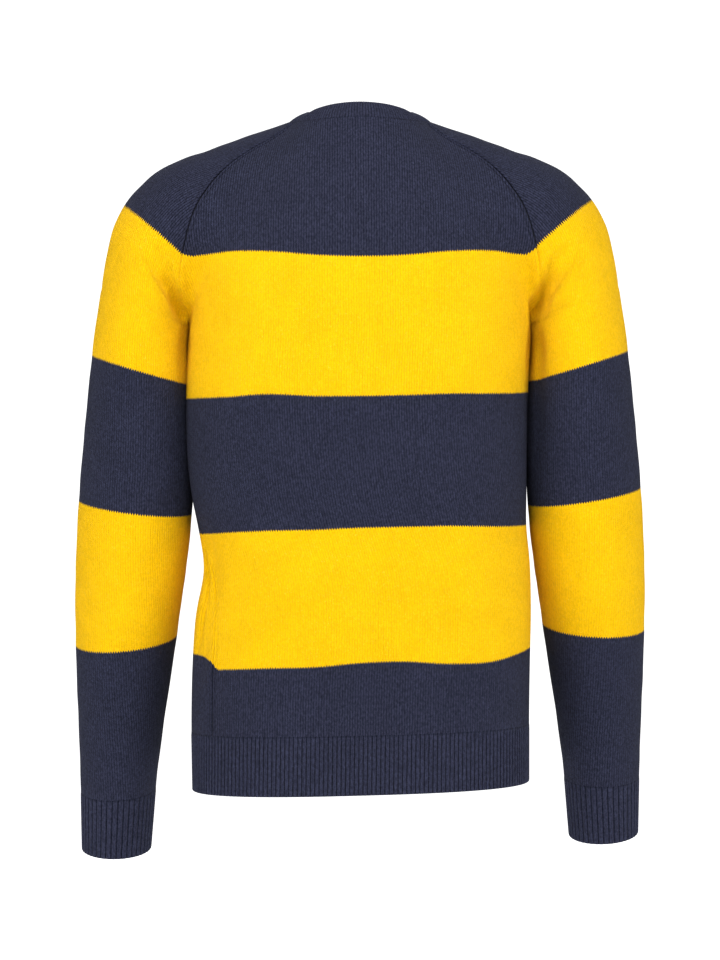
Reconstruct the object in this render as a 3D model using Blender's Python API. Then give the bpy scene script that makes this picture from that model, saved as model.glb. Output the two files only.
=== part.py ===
"""A striped crew-neck jumper with raglan sleeves, filled out as if worn, made of its knitted pieces.

Metres, +Z up. The wearer faces -Y, so the left sleeve is at +X. The origin is where the wearer's neck
and shoulders hold the jumper: the middle of the neck opening, at the height of the shoulders' tops.

The cloth's outer side is a surface on which a distance function is zero. The function joins a torso,
given by level rings, to two sleeves, given by the line over the shoulder and down the arm.
"""

import bpy
import numpy as np

# Cloth
WALL = 0.0024
SEAM_GAP = 0.0003
RIB_DIP = 0.0006
RIB_RISE = 0.0005
BODY_RIB_PITCH = 0.0048
CUFF_RIB_PITCH = 0.0056
NECK_RIB_PITCH = 0.0046

# Heights, from the shoulders' tops
HEM = -0.685
HEM_RIB_TOP = -0.625
ARMPIT = -0.215
CUFF_END = -0.753
CUFF_TOP = -0.691
NECKBAND_DEEP = 0.022

# How far one side of the jumper hangs below the other, for each metre across and each metre down
HANG_SKEW = 0.045
HANG_LEVEL = -0.08

# The torso's level rings. Squareness 2 is an ellipse, and more is boxier.
TORSO = (
    # height, half_width, back, front, squareness, middle_out
    (-0.720, 0.1730, 0.107, -0.110, 2.60, -0.0008),
    (-0.685, 0.1735, 0.108, -0.112, 2.60, -0.0008),
    (-0.607, 0.1742, 0.108, -0.115, 2.60, -0.0003),
    (-0.557, 0.1740, 0.108, -0.116, 2.60, -0.0012),
    (-0.507, 0.1728, 0.107, -0.117, 2.55, -0.0034),
    (-0.458, 0.1682, 0.106, -0.118, 2.50, -0.0068),
    (-0.420, 0.1692, 0.106, -0.119, 2.50, -0.0025),
    (-0.384, 0.1730, 0.107, -0.120, 2.50, 0.0010),
    (-0.330, 0.1762, 0.109, -0.121, 2.50, 0.0035),
    (-0.270, 0.1770, 0.113, -0.122, 2.50, 0.0030),
    (-0.215, 0.1765, 0.116, -0.121, 2.50, 0.0000),
    (-0.150, 0.1740, 0.116, -0.115, 2.50, 0.0000),
    (-0.100, 0.1600, 0.110, -0.103, 2.40, 0.0000),
    (-0.060, 0.1300, 0.099, -0.089, 2.20, 0.0000),
    (-0.030, 0.0980, 0.087, -0.076, 2.10, 0.0000),
    (0.000, 0.0680, 0.072, -0.063, 2.00, 0.0000),
    (0.040, 0.0560, 0.060, -0.052, 2.00, 0.0000),
)

# The sleeve from inside the neck to below the cuff: the line over the shoulder and down the outside of
# the arm, half the tube's width and depth there, and how far back its middle is
SLEEVE = (
    # crest_out, crest_up, half_width, half_depth, middle_back
    (0.0340, 0.0060, 0.0480, 0.0480, 0.004),
    (0.0620, 0.0010, 0.0510, 0.0530, 0.003),
    (0.0832, -0.0055, 0.0540, 0.0580, 0.002),
    (0.1210, -0.0178, 0.0590, 0.0650, 0.001),
    (0.1555, -0.0303, 0.0630, 0.0700, 0.000),
    (0.1900, -0.0426, 0.0660, 0.0740, 0.000),
    (0.2123, -0.0550, 0.0660, 0.0760, 0.000),
    (0.2262, -0.0674, 0.0650, 0.0770, 0.000),
    (0.2376, -0.0800, 0.0630, 0.0770, 0.000),
    (0.2523, -0.1046, 0.0600, 0.0760, 0.000),
    (0.2612, -0.1380, 0.0560, 0.0740, 0.000),
    (0.2675, -0.1750, 0.0510, 0.0710, -0.001),
    (0.2740, -0.2150, 0.0495, 0.0680, -0.003),
    (0.2800, -0.2650, 0.0535, 0.0640, -0.006),
    (0.2860, -0.3220, 0.0575, 0.0600, -0.011),
    (0.2915, -0.3800, 0.0592, 0.0575, -0.016),
    (0.2950, -0.4340, 0.0585, 0.0560, -0.022),
    (0.2970, -0.4840, 0.0560, 0.0535, -0.029),
    (0.2972, -0.5350, 0.0525, 0.0505, -0.038),
    (0.2966, -0.5870, 0.0480, 0.0475, -0.048),
    (0.2955, -0.6370, 0.0435, 0.0440, -0.058),
    (0.2948, -0.6880, 0.0397, 0.0410, -0.068),
    (0.2948, -0.7390, 0.0372, 0.0390, -0.078),
    (0.2955, -0.7900, 0.0365, 0.0385, -0.088),
)
# The sleeve is a chain of this many ellipsoids, each with this half length along the arm
SLEEVE_SAMPLES = 90
SLEEVE_REACH = 0.040
# Heights on that line of the courses that reach the armpit and the neck
SLEEVE_ARMPIT = -0.178
SLEEVE_NECK = 0.0010

# The courses of the sleeve: how far the outer side is above the inner side, and how far the front is
# above the back, in degrees, against the height of the course at the crest
COURSE_TILT = (
    # height, up_outside, up_front
    (-0.760, 2.0, 11.0),
    (-0.640, -2.0, 12.0),
    (-0.530, -4.0, 11.0),
    (-0.385, 8.0, 6.0),
    (-0.237, 17.0, 2.0),
    (-0.178, 22.0, 0.0),
)

# Raglan seams, from the armpit to the neck
SEAM_BACK = (
    # out, back, up
    (0.1760, -0.004, -0.2150),
    (0.1800, 0.030, -0.1970),
    (0.1825, 0.055, -0.1740),
    (0.1812, 0.067, -0.1540),
    (0.1780, 0.074, -0.1350),
    (0.1725, 0.077, -0.1130),
    (0.1660, 0.074, -0.0945),
    (0.1560, 0.069, -0.0768),
    (0.1440, 0.062, -0.0605),
    (0.1285, 0.054, -0.0462),
    (0.1080, 0.047, -0.0310),
    (0.0880, 0.040, -0.0190),
    (0.0680, 0.024, -0.0070),
)
SEAM_FRONT = (
    # out, back, up
    (0.1760, -0.004, -0.2150),
    (0.1745, -0.040, -0.1970),
    (0.1680, -0.066, -0.1680),
    (0.1540, -0.084, -0.1360),
    (0.1350, -0.090, -0.1060),
    (0.1150, -0.086, -0.0800),
    (0.0920, -0.070, -0.0540),
    (0.0710, -0.038, -0.0260),
)

# The neckline's left half, from the middle of the back to the middle of the front, and how far the
# neckband leans inwards there, in degrees. The raglan seams meet it at its rows 3 and 5.
NECKLINE = (
    # out, back, up, lean
    (0.0000, 0.0740, -0.0037, 38.0),
    (0.0280, 0.0695, -0.0045, 39.0),
    (0.0520, 0.0530, -0.0062, 46.0),
    (0.0680, 0.0240, -0.0070, 58.0),
    (0.0720, -0.0080, -0.0090, 62.0),
    (0.0710, -0.0380, -0.0260, 56.0),
    (0.0620, -0.0680, -0.0560, 48.0),
    (0.0380, -0.0890, -0.0830, 45.0),
    (0.0000, -0.0985, -0.0940, 44.0),
)
NECK_AT_BACK_SEAM = 3
NECK_AT_FRONT_SEAM = 5

# The side seams lie towards the back low down: degrees round the ring from the widest point
SIDE_SEAM = (
    # height, left, right
    (-0.700, 36.0, 12.0),
    (-0.600, 37.0, 12.0),
    (-0.500, 34.0, 10.0),
    (-0.400, 14.0, 5.0),
    (-0.300, 3.0, 1.0),
    (-0.215, -1.0, -1.0),
)

# How wide the fillet between torso and sleeve is, and how far the sleeve keeps from the torso below it
FILLET = (
    # height, fillet, clear
    (-0.800, 0.003, 0.0016),
    (-0.240, 0.003, 0.0014),
    (-0.215, 0.014, 0.0003),
    (-0.190, 0.024, 0.0003),
    (-0.130, 0.034, 0.0003),
    (-0.060, 0.026, 0.0003),
    (-0.025, 0.009, 0.0003),
    (0.040, 0.005, 0.0003),
)
JOIN_HIGH = 0.012

# The largest folds: troughs between two points, with how wide and how deep they are. Those at the
# armpits are on both sides, and the one at the waist is at the left only.
ARMPIT_FOLDS = (
    # start, end, width, depth
    ((0.2060, 0.072, -0.148), (0.1920, 0.062, -0.172), 0.009, 0.006),
    ((0.1920, 0.062, -0.172), (0.1810, 0.045, -0.200), 0.009, 0.006),
    ((0.2050, -0.078, -0.150), (0.1840, -0.055, -0.200), 0.010, 0.005),
)
WAIST_FOLDS = (
    # start, end, width, depth
    ((0.1610, 0.050, -0.430), (0.1545, 0.059, -0.472), 0.010, 0.006),
    ((0.1545, 0.059, -0.472), (0.1580, 0.057, -0.505), 0.010, 0.007),
    ((0.1580, 0.057, -0.505), (0.1640, 0.049, -0.560), 0.010, 0.005),
)

# How finely the pieces are divided
BODY_COLUMNS = 26
BODY_ROWS_BELOW = 14
SLEEVE_COLUMNS = 22
SLEEVE_ROWS_BELOW = 15
YOKE_ROWS = 12
YOKE_CROWDING = 1.3
# How many points fine lines have before they are shared out evenly
SEAM_POINTS = 160
CUFF_POINTS = 240
RIB_POINTS = 301
NECK_POINTS = 400
CREST_POINTS = 4000
# A row meets a seam that lies off it by a move that fades with this power of the way from the seam
EDGE_FADE = 4
NECK_EVENING_ROUNDS = 4

# Points are moved onto a form in this many rounds, each no longer than a limit
SETTLE_ROUNDS = 7
LONGEST_MOVE = 0.02
LEAST_SLOPE = 0.05
SLOPE_STEP = 3e-4
RING_STEP = 1e-4
CREST_STEP = 2e-3
TINY = 1e-9

NAVY = (0.022, 0.030, 0.058, 1.0)
KNIT_ROUGHNESS = 0.95
SHARP_ANGLE = 50


def read_table(table, at):
    """The table's columns at values of its first one, on smooth curves through the rows."""
    rows = np.array(table, float)
    knots, values = rows[:, 0], rows[:, 1:]
    slopes = np.gradient(values, knots, axis=0)
    at = np.clip(np.asarray(at, float), knots[0], knots[-1])
    low = np.clip(np.searchsorted(knots, at, side="right") - 1, 0, len(knots) - 2)
    step = knots[low + 1] - knots[low]
    t = ((at - knots[low]) / step)[..., None]
    step = step[..., None]
    return (
        (2 * t**3 - 3 * t**2 + 1) * values[low]
        + (t**3 - 2 * t**2 + t) * step * slopes[low]
        + (3 * t**2 - 2 * t**3) * values[low + 1]
        + (t**3 - t**2) * step * slopes[low + 1]
    )


def unit(v):
    return v / np.maximum(np.linalg.norm(v, axis=-1, keepdims=True), TINY)


def numbered(table):
    """The table with its row's number as the first column."""
    return [(i, *row) for i, row in enumerate(table)]


def lengthened(table):
    """The table with the distance along its first two columns' line as the first column."""
    rows = np.array(table)
    far = np.concatenate([[0], np.cumsum(np.linalg.norm(np.diff(rows[:, :2], axis=0), axis=1))])
    return np.column_stack([far, rows])


SLEEVE_BY_LENGTH = lengthened(SLEEVE)


def sleeve_frame(far):
    """Crest, middle, axis, outward and backward directions and half sizes at lengths along the crest."""
    far = np.clip(far, CREST_STEP, SLEEVE_BY_LENGTH[-1, 0] - CREST_STEP)
    out, up, half_width, half_depth, back = read_table(SLEEVE_BY_LENGTH, far).T
    ahead = read_table(SLEEVE_BY_LENGTH, far + CREST_STEP)
    behind = read_table(SLEEVE_BY_LENGTH, far - CREST_STEP)
    along = (ahead - behind)[..., [0, 4, 1]]
    outward = unit(np.stack([-along[..., 2], 0 * out, along[..., 0]], -1))
    backward = unit(np.cross(unit(along), outward))
    backward *= np.sign(backward[..., 1:2])
    crest = np.stack([out, back, up], -1)
    middle = crest - outward * half_width[..., None]
    return crest, middle, np.cross(outward, backward), outward, backward, half_width, half_depth


CHAIN = sleeve_frame(np.linspace(0, SLEEVE_BY_LENGTH[-1, 0], SLEEVE_SAMPLES))


def torso_ring_value(p, height):
    """1 on the torso's ring at a height, less inside it and more outside."""
    half_width, back, front, square, middle_out = read_table(TORSO, height).T
    middle, half_depth = (back + front) / 2, (back - front) / 2
    across = np.maximum(np.abs(p[:, 0] - middle_out) / half_width, TINY) ** square
    deep = np.maximum(np.abs(p[:, 1] - middle) / half_depth, TINY) ** square
    return (across + deep) ** (1 / square)


def torso_distance(p):
    """About how far each point is outside the torso."""
    value = torso_ring_value(p, p[:, 2])
    steep = 0
    for d in np.eye(3) * RING_STEP:
        change = torso_ring_value(p + d, p[:, 2] + d[2]) - torso_ring_value(p - d, p[:, 2] - d[2])
        steep = steep + (change / (2 * RING_STEP)) ** 2
    return (value - 1) / np.maximum(np.sqrt(steep), TINY)


def sleeve_distance(p):
    """About how far each point is outside the nearer sleeve, which is a chain of ellipsoids."""
    _, middle, axis, outward, backward, half_width, half_depth = CHAIN
    q = np.stack([np.abs(p[:, 0]), p[:, 1], p[:, 2]], -1)
    local = [q @ way.T - np.sum(middle * way, 1) for way in (outward, backward, axis)]
    sizes = (half_width, half_depth, SLEEVE_REACH)
    near = np.sqrt(sum((part / size) ** 2 for part, size in zip(local, sizes)))
    steep = np.sqrt(sum((part / size**2) ** 2 for part, size in zip(local, sizes)))
    return (near * (near - 1) / np.maximum(steep, TINY)).min(axis=1)


def blend_lower(a, b, width):
    """The lower of two distances, with a fillet of this width where they are alike."""
    h = np.maximum(width - np.abs(a - b), 0) / width
    return np.minimum(a, b) - h * h * width / 4


def trough(p, start, end, width, depth):
    """The depth at each point of a soft trough along a line."""
    start, end = np.array(start), np.array(end)
    along = end - start
    t = np.clip((p - start) @ along / (along @ along), 0, 1)
    gap = np.linalg.norm(p - start - t[:, None] * along, axis=1)
    return depth * np.exp(-((gap / width) ** 2))


def folds(p):
    """How much deeper than the smooth form the cloth lies."""
    either_side = np.stack([np.abs(p[:, 0]), p[:, 1], p[:, 2]], -1)
    dip = np.maximum.reduce([trough(either_side, *fold) for fold in ARMPIT_FOLDS])
    return dip + np.maximum.reduce([trough(p, *fold) for fold in WAIST_FOLDS])


def body_form(p):
    """Zero on the outer side of the front and back."""
    torso, sleeve = torso_distance(p), sleeve_distance(p)
    fillet, _ = read_table(FILLET, p[:, 2]).T
    joined = np.clip((p[:, 2] - ARMPIT) / JOIN_HIGH, 0, 1)
    return torso + joined * (blend_lower(torso, sleeve, fillet) - torso) + folds(p)


def sleeve_form(p):
    """Zero on the outer side of the sleeves, which keep clear of the torso below the armpit."""
    torso, sleeve = torso_distance(p), sleeve_distance(p)
    fillet, clear = read_table(FILLET, p[:, 2]).T
    joined = np.clip((p[:, 2] - ARMPIT) / JOIN_HIGH, 0, 1)
    apart = -blend_lower(-sleeve, torso - clear, fillet)
    return apart + joined * (blend_lower(torso, sleeve, fillet) - apart) + folds(p)


def slope_of(form, p):
    rises = [form(p + d) - form(p - d) for d in np.eye(3) * SLOPE_STEP]
    return np.stack(rises, -1) / (2 * SLOPE_STEP)


def settle(form, p, normal=None):
    """Moves points onto the form, in the planes with these normals if they are given."""
    shape, p = p.shape, p.reshape(-1, 3).copy()
    if normal is not None:
        normal = np.broadcast_to(normal, shape).reshape(-1, 3)
    for _ in range(SETTLE_ROUNDS):
        slope = slope_of(form, p)
        if normal is not None:
            slope = slope - np.sum(slope * normal, 1, keepdims=True) * normal
        move = form(p)[:, None] * slope / np.maximum(np.sum(slope**2, 1, keepdims=True), LEAST_SLOPE)
        p -= np.clip(move, -LONGEST_MOVE, LONGEST_MOVE)
    return p.reshape(shape)


def outward_of(form, p):
    return unit(slope_of(form, p.reshape(-1, 3))).reshape(p.shape)


def by_length(line, shares):
    """Points at shares of the length of a line of points."""
    far = np.concatenate([[0], np.cumsum(np.linalg.norm(np.diff(line, axis=0), axis=1))])
    return np.stack([np.interp(np.asarray(shares) * far[-1], far, line[:, k]) for k in range(3)], -1)


def seam_line(table, shares):
    """Points on the +X side's raglan seam at shares of its length, from the armpit to the neck."""
    fine = read_table(numbered(table), np.linspace(0, len(table) - 1, SEAM_POINTS))
    fine[1:] = settle(body_form, fine[1:])
    return by_length(fine, shares)


def ring_point(degrees, up):
    """Points of the torso's rings at angles from +X towards +Y."""
    half_width, back, front, square, middle_out = read_table(TORSO, up).T
    middle, half_depth = (back + front) / 2, (back - front) / 2
    c, s = np.cos(np.radians(degrees)), np.sin(np.radians(degrees))
    reach = (np.abs(c) ** square + np.abs(s) ** square) ** (-1 / square)
    return np.stack([middle_out + half_width * c * reach, middle + half_depth * s * reach, up], -1)


def ring_angle(point):
    """The angle at which a point lies on its level ring."""
    _, back, front, _, _ = level = read_table(TORSO, point[2])
    return np.degrees(np.arctan2(2 * (point[1] - (back + front) / 2) / (back - front), point[0] / level[0]))


def mirrored(p):
    return p * [-1, 1, 1]


def half_neckline():
    """Points on the neckline's left half with the neckband's lean, and the lengths at NECKLINE's rows."""
    table = np.array(NECKLINE)
    other = table * [-1, 1, 1, 1]
    both = np.concatenate([other[2:0:-1], table, other[-2:-4:-1]])
    at = np.linspace(2, len(table) + 1, NECK_POINTS)
    line = read_table(numbered(both), at)
    line[:, :3] = settle(body_form, line[:, :3])
    line[0, 0] = line[-1, 0] = 0
    far = np.concatenate([[0], np.cumsum(np.linalg.norm(np.diff(line[:, :3], axis=0), axis=1))])
    return line, far, np.interp(np.arange(len(table)) + 2, at, far)


def neck_points(first_row, last_row, count):
    """Points and leans spaced evenly along the neckline's left half between two rows of NECKLINE."""
    line, far, rows = half_neckline()
    at = np.linspace(rows[first_row], rows[last_row], count)
    points = np.stack([np.interp(at, far, line[:, k]) for k in range(4)], -1)
    return points[:, :3], points[:, 3]


def body_grid(facing, columns, rows_below, yoke_shares):
    """Rows of points of the back (facing 1) or the front (facing -1), from the rib's top to the neck."""
    rows = []
    turn = np.linspace(0, 1, columns + 1)
    for height in np.linspace(HEM_RIB_TOP, ARMPIT, rows_below, endpoint=False):
        left, right = read_table(SIDE_SEAM, height)
        last = facing * 180 - right
        rows.append(ring_point(left + (last - left) * turn, np.full(columns + 1, height)))
    seam = seam_line(SEAM_BACK if facing > 0 else SEAM_FRONT, yoke_shares)
    if facing > 0:
        half, _ = neck_points(NECK_AT_BACK_SEAM, 0, columns // 2 + 1)
    else:
        half, _ = neck_points(NECK_AT_FRONT_SEAM, len(NECKLINE) - 1, columns // 2 + 1)
    seam[-1] = half[0]
    neck = np.concatenate([half, mirrored(half)[-2::-1]])
    near_seam = np.abs(2 * turn - 1)
    for share, point in zip(yoke_shares, seam):
        middle = ARMPIT + (neck[columns // 2, 2] - ARMPIT) * share
        first = ring_angle(point)
        last = facing * 180 - first
        up = point[2] + (middle - point[2]) * (1 - near_seam**2)
        row = ring_point(first + (last - first) * turn, up)
        off = point - row[0]
        row += near_seam[:, None] ** EDGE_FADE * np.where(turn[:, None] < 0.5, off, mirrored(off))
        rows.append(row)
    rows = np.array(rows)
    rows[rows_below:] += np.array(yoke_shares)[:, None, None] ** EDGE_FADE * (neck - rows[-1])
    normals = np.zeros(rows.shape)
    normals[: rows_below + 1] = (0, 0, 1)
    rows = settle(body_form, rows, normals)
    rows[rows_below:, 0], rows[rows_below:, -1] = seam, mirrored(seam)
    rows[-1] = neck
    return rows


def sleeve_rows(side, columns, rows_below, yoke_shares):
    """Rows of points round the sleeve at +X (side 1) or -X (side -1), from the cuff's top to the neck.

    Each row runs from the underarm, or the back seam, over the back, the outside and the front.
    """
    back, front = seam_line(SEAM_BACK, yoke_shares), seam_line(SEAM_FRONT, yoke_shares)
    neck, _ = neck_points(NECK_AT_BACK_SEAM, NECK_AT_FRONT_SEAM, columns + 1)
    back[-1], front[-1] = neck[0], neck[-1]
    armpit_at, neck_at, cuff_at = (crest_length(up) for up in (SLEEVE_ARMPIT, SLEEVE_NECK, CUFF_TOP))
    rows, normals = [], []
    for at in np.linspace(cuff_at, armpit_at, rows_below, endpoint=False):
        row, normal = sleeve_ring(at, columns)
        rows.append(row)
        normals.append(np.tile(normal, (columns + 1, 1)))
    for share, from_point, to_point in zip(yoke_shares, back, front):
        at = armpit_at + (neck_at - armpit_at) * share
        crest, _, _, _, _, half_width, half_depth = sleeve_frame(np.array(at))
        e1 = unit(crest - (from_point + to_point) / 2)
        e2 = unit(np.array([0.0, 1.0, 0.0]) - e1[1] * e1)
        e3 = np.cross(e1, e2)
        centre = crest - half_width * e1
        ends = []
        for point, sign in ((from_point, 1), (to_point, -1)):
            d = point - centre
            angle = np.arctan2(d @ e2, d @ e1)
            if share == 0:
                angle = sign * np.pi
            reach = np.hypot(np.cos(angle) / half_width, np.sin(angle) / half_depth) ** -1
            ends.append((angle, np.hypot(d @ e1, d @ e2) - reach, d @ e3))
        angle = np.linspace(ends[0][0], ends[1][0], columns + 1)
        reach = np.hypot(np.cos(angle) / half_width, np.sin(angle) / half_depth) ** -1
        off = np.zeros(columns + 1)
        for (end, longer, aside), half in zip(ends, (angle >= 0, angle < 0)):
            reach += np.where(half, (angle / end) ** EDGE_FADE, 0) * longer
            off += np.where(half, (angle / end) ** 2, 0) * aside
        row = centre + np.outer(reach * np.cos(angle), e1) + np.outer(reach * np.sin(angle), e2)
        rows.append(row + np.outer(off, e3))
        normals.append(np.zeros((columns + 1, 3)))
    rows = np.array(rows)
    rows[rows_below:] += np.array(yoke_shares)[:, None, None] ** EDGE_FADE * (neck - rows[-1])
    sided = np.array([side, 1, 1])
    rows = settle(sleeve_form, rows * sided, np.array(normals) * sided)
    rows[rows_below:, 0], rows[rows_below:, -1] = back * sided, front * sided
    rows[-1] = neck * sided
    return rows


def crest_length(up):
    """How far along the sleeve's crest the point at this height is."""
    far = np.linspace(0, SLEEVE_BY_LENGTH[-1, 0], CREST_POINTS)
    return np.interp(-up, -read_table(SLEEVE_BY_LENGTH, far)[:, 1], far)


def sleeve_ring(at, columns):
    """A course round the +X sleeve below the armpit, and the normal of its plane."""
    crest, _, _, _, _, half_width, half_depth = sleeve_frame(np.array(at))
    up_outside, up_front = np.radians(read_table(COURSE_TILT, crest[2]))
    e1 = np.array([np.cos(up_outside), 0.0, np.sin(up_outside)])
    e2 = np.array([0.0, np.cos(up_front), -np.sin(up_front)])
    angle = np.linspace(np.pi, -np.pi, columns + 1)
    row = crest - half_width * e1
    row = row + np.outer(half_width * np.cos(angle), e1) + np.outer(half_depth * np.sin(angle), e2)
    return row, unit(np.cross(e1, e2))


def open_seams(grid, outward, edges=("left", "right", "bottom", "top"), armpit=None):
    """The grid with its edges drawn in by half a seam's gap.

    Four pieces meet at the armpit, where the given row's ends are drawn in along the row too.
    """
    along_rows = np.gradient(grid, axis=1)
    along_columns = np.gradient(grid, axis=0)
    opened = grid.copy()
    for edge, where, line, inside in (
        ("left", np.s_[:, 0], along_columns, along_rows),
        ("right", np.s_[:, -1], along_columns, -along_rows),
        ("bottom", np.s_[0], along_rows, along_columns),
        ("top", np.s_[-1], along_rows, -along_columns),
    ):
        if edge in edges:
            aside = unit(np.cross(outward[where], line[where]))
            aside *= np.sign(np.sum(aside * inside[where], -1, keepdims=True))
            opened[where] += aside * SEAM_GAP / 2
    if armpit is not None:
        opened[armpit, 0] += unit(along_rows[armpit, 0]) * SEAM_GAP / 2
        opened[armpit, -1] -= unit(along_rows[armpit, -1]) * SEAM_GAP / 2
    return opened


def hang(p):
    """The jumper hangs a little lower at its left than at its right."""
    p = p.copy()
    p[..., 2] -= HANG_SKEW * p[..., 0] * np.maximum(HANG_LEVEL - p[..., 2], 0)
    return p


def wall(name, outer, inner, closed=False):
    """One closed solid between two grids of points. A closed grid's last column is its first one."""
    rows, columns = outer.shape[:2]
    if closed:
        outer, inner, columns = outer[:, :-1], inner[:, :-1], columns - 1
    points = np.concatenate([hang(outer).reshape(-1, 3), hang(inner).reshape(-1, 3)])

    def number(layer, row, column):
        return layer * rows * columns + row * columns + column % columns

    faces = []
    spans = columns if closed else columns - 1
    for c in range(spans):
        for r in range(rows - 1):
            square = [(r, c), (r, c + 1), (r + 1, c + 1), (r + 1, c)]
            faces.append([number(0, *corner) for corner in square])
            faces.append([number(1, *corner) for corner in reversed(square)])
        for r in (0, rows - 1):
            rim = [number(0, r, c), number(1, r, c), number(1, r, c + 1), number(0, r, c + 1)]
            faces.append(rim if r == 0 else rim[::-1])
    if not closed:
        # Both sides of a seam have the same diagonals, so the pieces stay apart where it twists
        for r in range(rows - 1):
            for c in (0, columns - 1):
                for rim in (
                    [number(0, r, c), number(0, r + 1, c), number(1, r + 1, c)],
                    [number(0, r, c), number(1, r + 1, c), number(1, r, c)],
                ):
                    faces.append(rim if c == 0 else rim[::-1])
    mesh = bpy.data.meshes.new(name)
    mesh.from_pydata(points.tolist(), [], faces)
    mesh.validate()
    volume = sum(
        points[f[0]] @ np.cross(points[f[i]], points[f[i + 1]]) for f in faces for i in range(1, len(f) - 1)
    )
    if volume < 0:
        mesh.flip_normals()
    mesh.materials.append(knit_material(name + "_knit"))
    mesh.shade_smooth()
    mesh.set_sharp_from_angle(angle=np.radians(SHARP_ANGLE))
    obj = bpy.data.objects.new(name, mesh)
    GARMENT.objects.link(obj)
    return obj


def knit_material(name):
    material = bpy.data.materials.new(name)
    material.use_nodes = True
    shader = material.node_tree.nodes["Principled BSDF"]
    shader.inputs["Base Color"].default_value = NAVY
    shader.inputs["Roughness"].default_value = KNIT_ROUGHNESS
    shader.inputs["Metallic"].default_value = 0.0
    return material


def cloth_outward(form, grid, rows_below):
    """The way out of the cloth at each point. At the armpit, where torso and sleeve part, it is down."""
    outward = outward_of(form, grid)
    seam = np.s_[rows_below:, [0, -1]]
    outward[seam] = outward_of(body_form, grid[seam])
    outward[rows_below, [0, -1]] = (0, 0, -1)
    return outward


def plain_piece(name, form, grid, rows_below):
    outward = cloth_outward(form, grid, rows_below)
    outer = open_seams(grid, outward, armpit=rows_below)
    wall(name, outer, outer - WALL * outward)


def ribbed(base, outward, columns):
    """The outer and inner points of a ribbed strip: every other column of the outer ones is raised."""
    raised = np.where(np.arange(columns + 1) % 2 == 1, RIB_RISE, -RIB_DIP)[None, :, None]
    return base + raised * outward, base - WALL * outward


def even_columns(length, pitch):
    """Two columns of faces for each rib."""
    return 2 * int(round(length / pitch))


def line_length(line):
    return np.linalg.norm(np.diff(line, axis=0), axis=1).sum()


def hem_rib(name, facing):
    rows = []
    columns = None
    turn = np.linspace(0, 1, RIB_POINTS)
    for height in (HEM, HEM_RIB_TOP - SEAM_GAP):
        left, right = read_table(SIDE_SEAM, height)
        last = facing * 180 - right
        fine = ring_point(left + (last - left) * turn, np.full(len(turn), height))
        fine = settle(body_form, fine, (0, 0, 1))
        columns = columns or even_columns(line_length(fine), BODY_RIB_PITCH)
        rows.append(by_length(fine, np.linspace(0, 1, columns + 1)))
    base = np.array(rows)
    outward = unit(outward_of(body_form, base) * [1, 1, 0])
    base = open_seams(base, outward, ("left", "right"))
    wall(name, *ribbed(base, outward, columns))


def cuff_rib(name, side):
    rows = []
    columns = None
    for up in (CUFF_END, CUFF_TOP):
        row, normal = sleeve_ring(crest_length(up), CUFF_POINTS)
        if up == CUFF_TOP:
            row = row - SEAM_GAP * normal * np.sign(normal[2])
        sided = np.array([side, 1, 1])
        normal = normal * sided
        fine = settle(sleeve_form, row * sided, normal)
        columns = columns or even_columns(line_length(fine), CUFF_RIB_PITCH)
        rows.append(by_length(fine, np.linspace(0, 1, columns + 1)))
    base = np.array(rows)
    outward = outward_of(sleeve_form, base)
    outward -= np.sum(outward * normal, -1, keepdims=True) * normal
    wall(name, *ribbed(base, unit(outward), columns), closed=True)


def neckband():
    half, lean = neck_points(0, len(NECKLINE) - 1, RIB_POINTS)
    loop = np.concatenate([half, mirrored(half)[-2::-1]])
    columns = even_columns(line_length(loop), NECK_RIB_PITCH)
    turn = np.linspace(0, 1, columns + 1)
    seam = by_length(loop, turn)
    lean = np.radians(np.interp(1 - np.abs(2 * turn - 1), np.linspace(0, 1, len(lean)), lean))[:, None]
    along = relaxed(unit(np.roll(seam[:-1], -1, 0) - np.roll(seam[:-1], 1, 0)), NECK_EVENING_ROUNDS)
    inwards = unit(np.cross([0.0, 0.0, 1.0], along))
    inwards *= -np.sign(np.sum(inwards * seam * [1, 1, 0], 1, keepdims=True))
    rise = np.cos(lean) * [0, 0, 1] + np.sin(lean) * inwards
    rise = unit(rise - np.sum(rise * along, 1, keepdims=True) * along)
    out = unit(np.cross(along, rise))
    out *= -np.sign(np.sum(out * inwards, 1, keepdims=True))
    # The lower edge is square to the cloth that the band is sewn to, and the upper one to the band
    cloth_out = outward_of(body_form, seam)
    cloth_up = unit(np.cross(along, cloth_out))
    cloth_up *= np.sign(np.sum(cloth_up * rise, 1, keepdims=True))
    base = np.array([seam + SEAM_GAP * cloth_up, seam + NECKBAND_DEEP * rise])
    wall("neckband", *ribbed(base, np.array([cloth_out, out]), columns), closed=True)


def relaxed(loop, rounds):
    """A loop of directions, with its first one repeated at its end, evened out."""
    for _ in range(rounds):
        loop = 0.5 * loop + 0.25 * (np.roll(loop, 1, 0) + np.roll(loop, -1, 0))
    return unit(np.concatenate([loop, loop[:1]]))


for old in list(bpy.data.objects):
    bpy.data.objects.remove(old)
GARMENT = bpy.data.collections.new("striped_jumper")
bpy.context.scene.collection.children.link(GARMENT)

shares = np.linspace(0, 1, YOKE_ROWS) ** YOKE_CROWDING
back = body_grid(1, BODY_COLUMNS, BODY_ROWS_BELOW, shares)
front = body_grid(-1, BODY_COLUMNS, BODY_ROWS_BELOW, shares)

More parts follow.
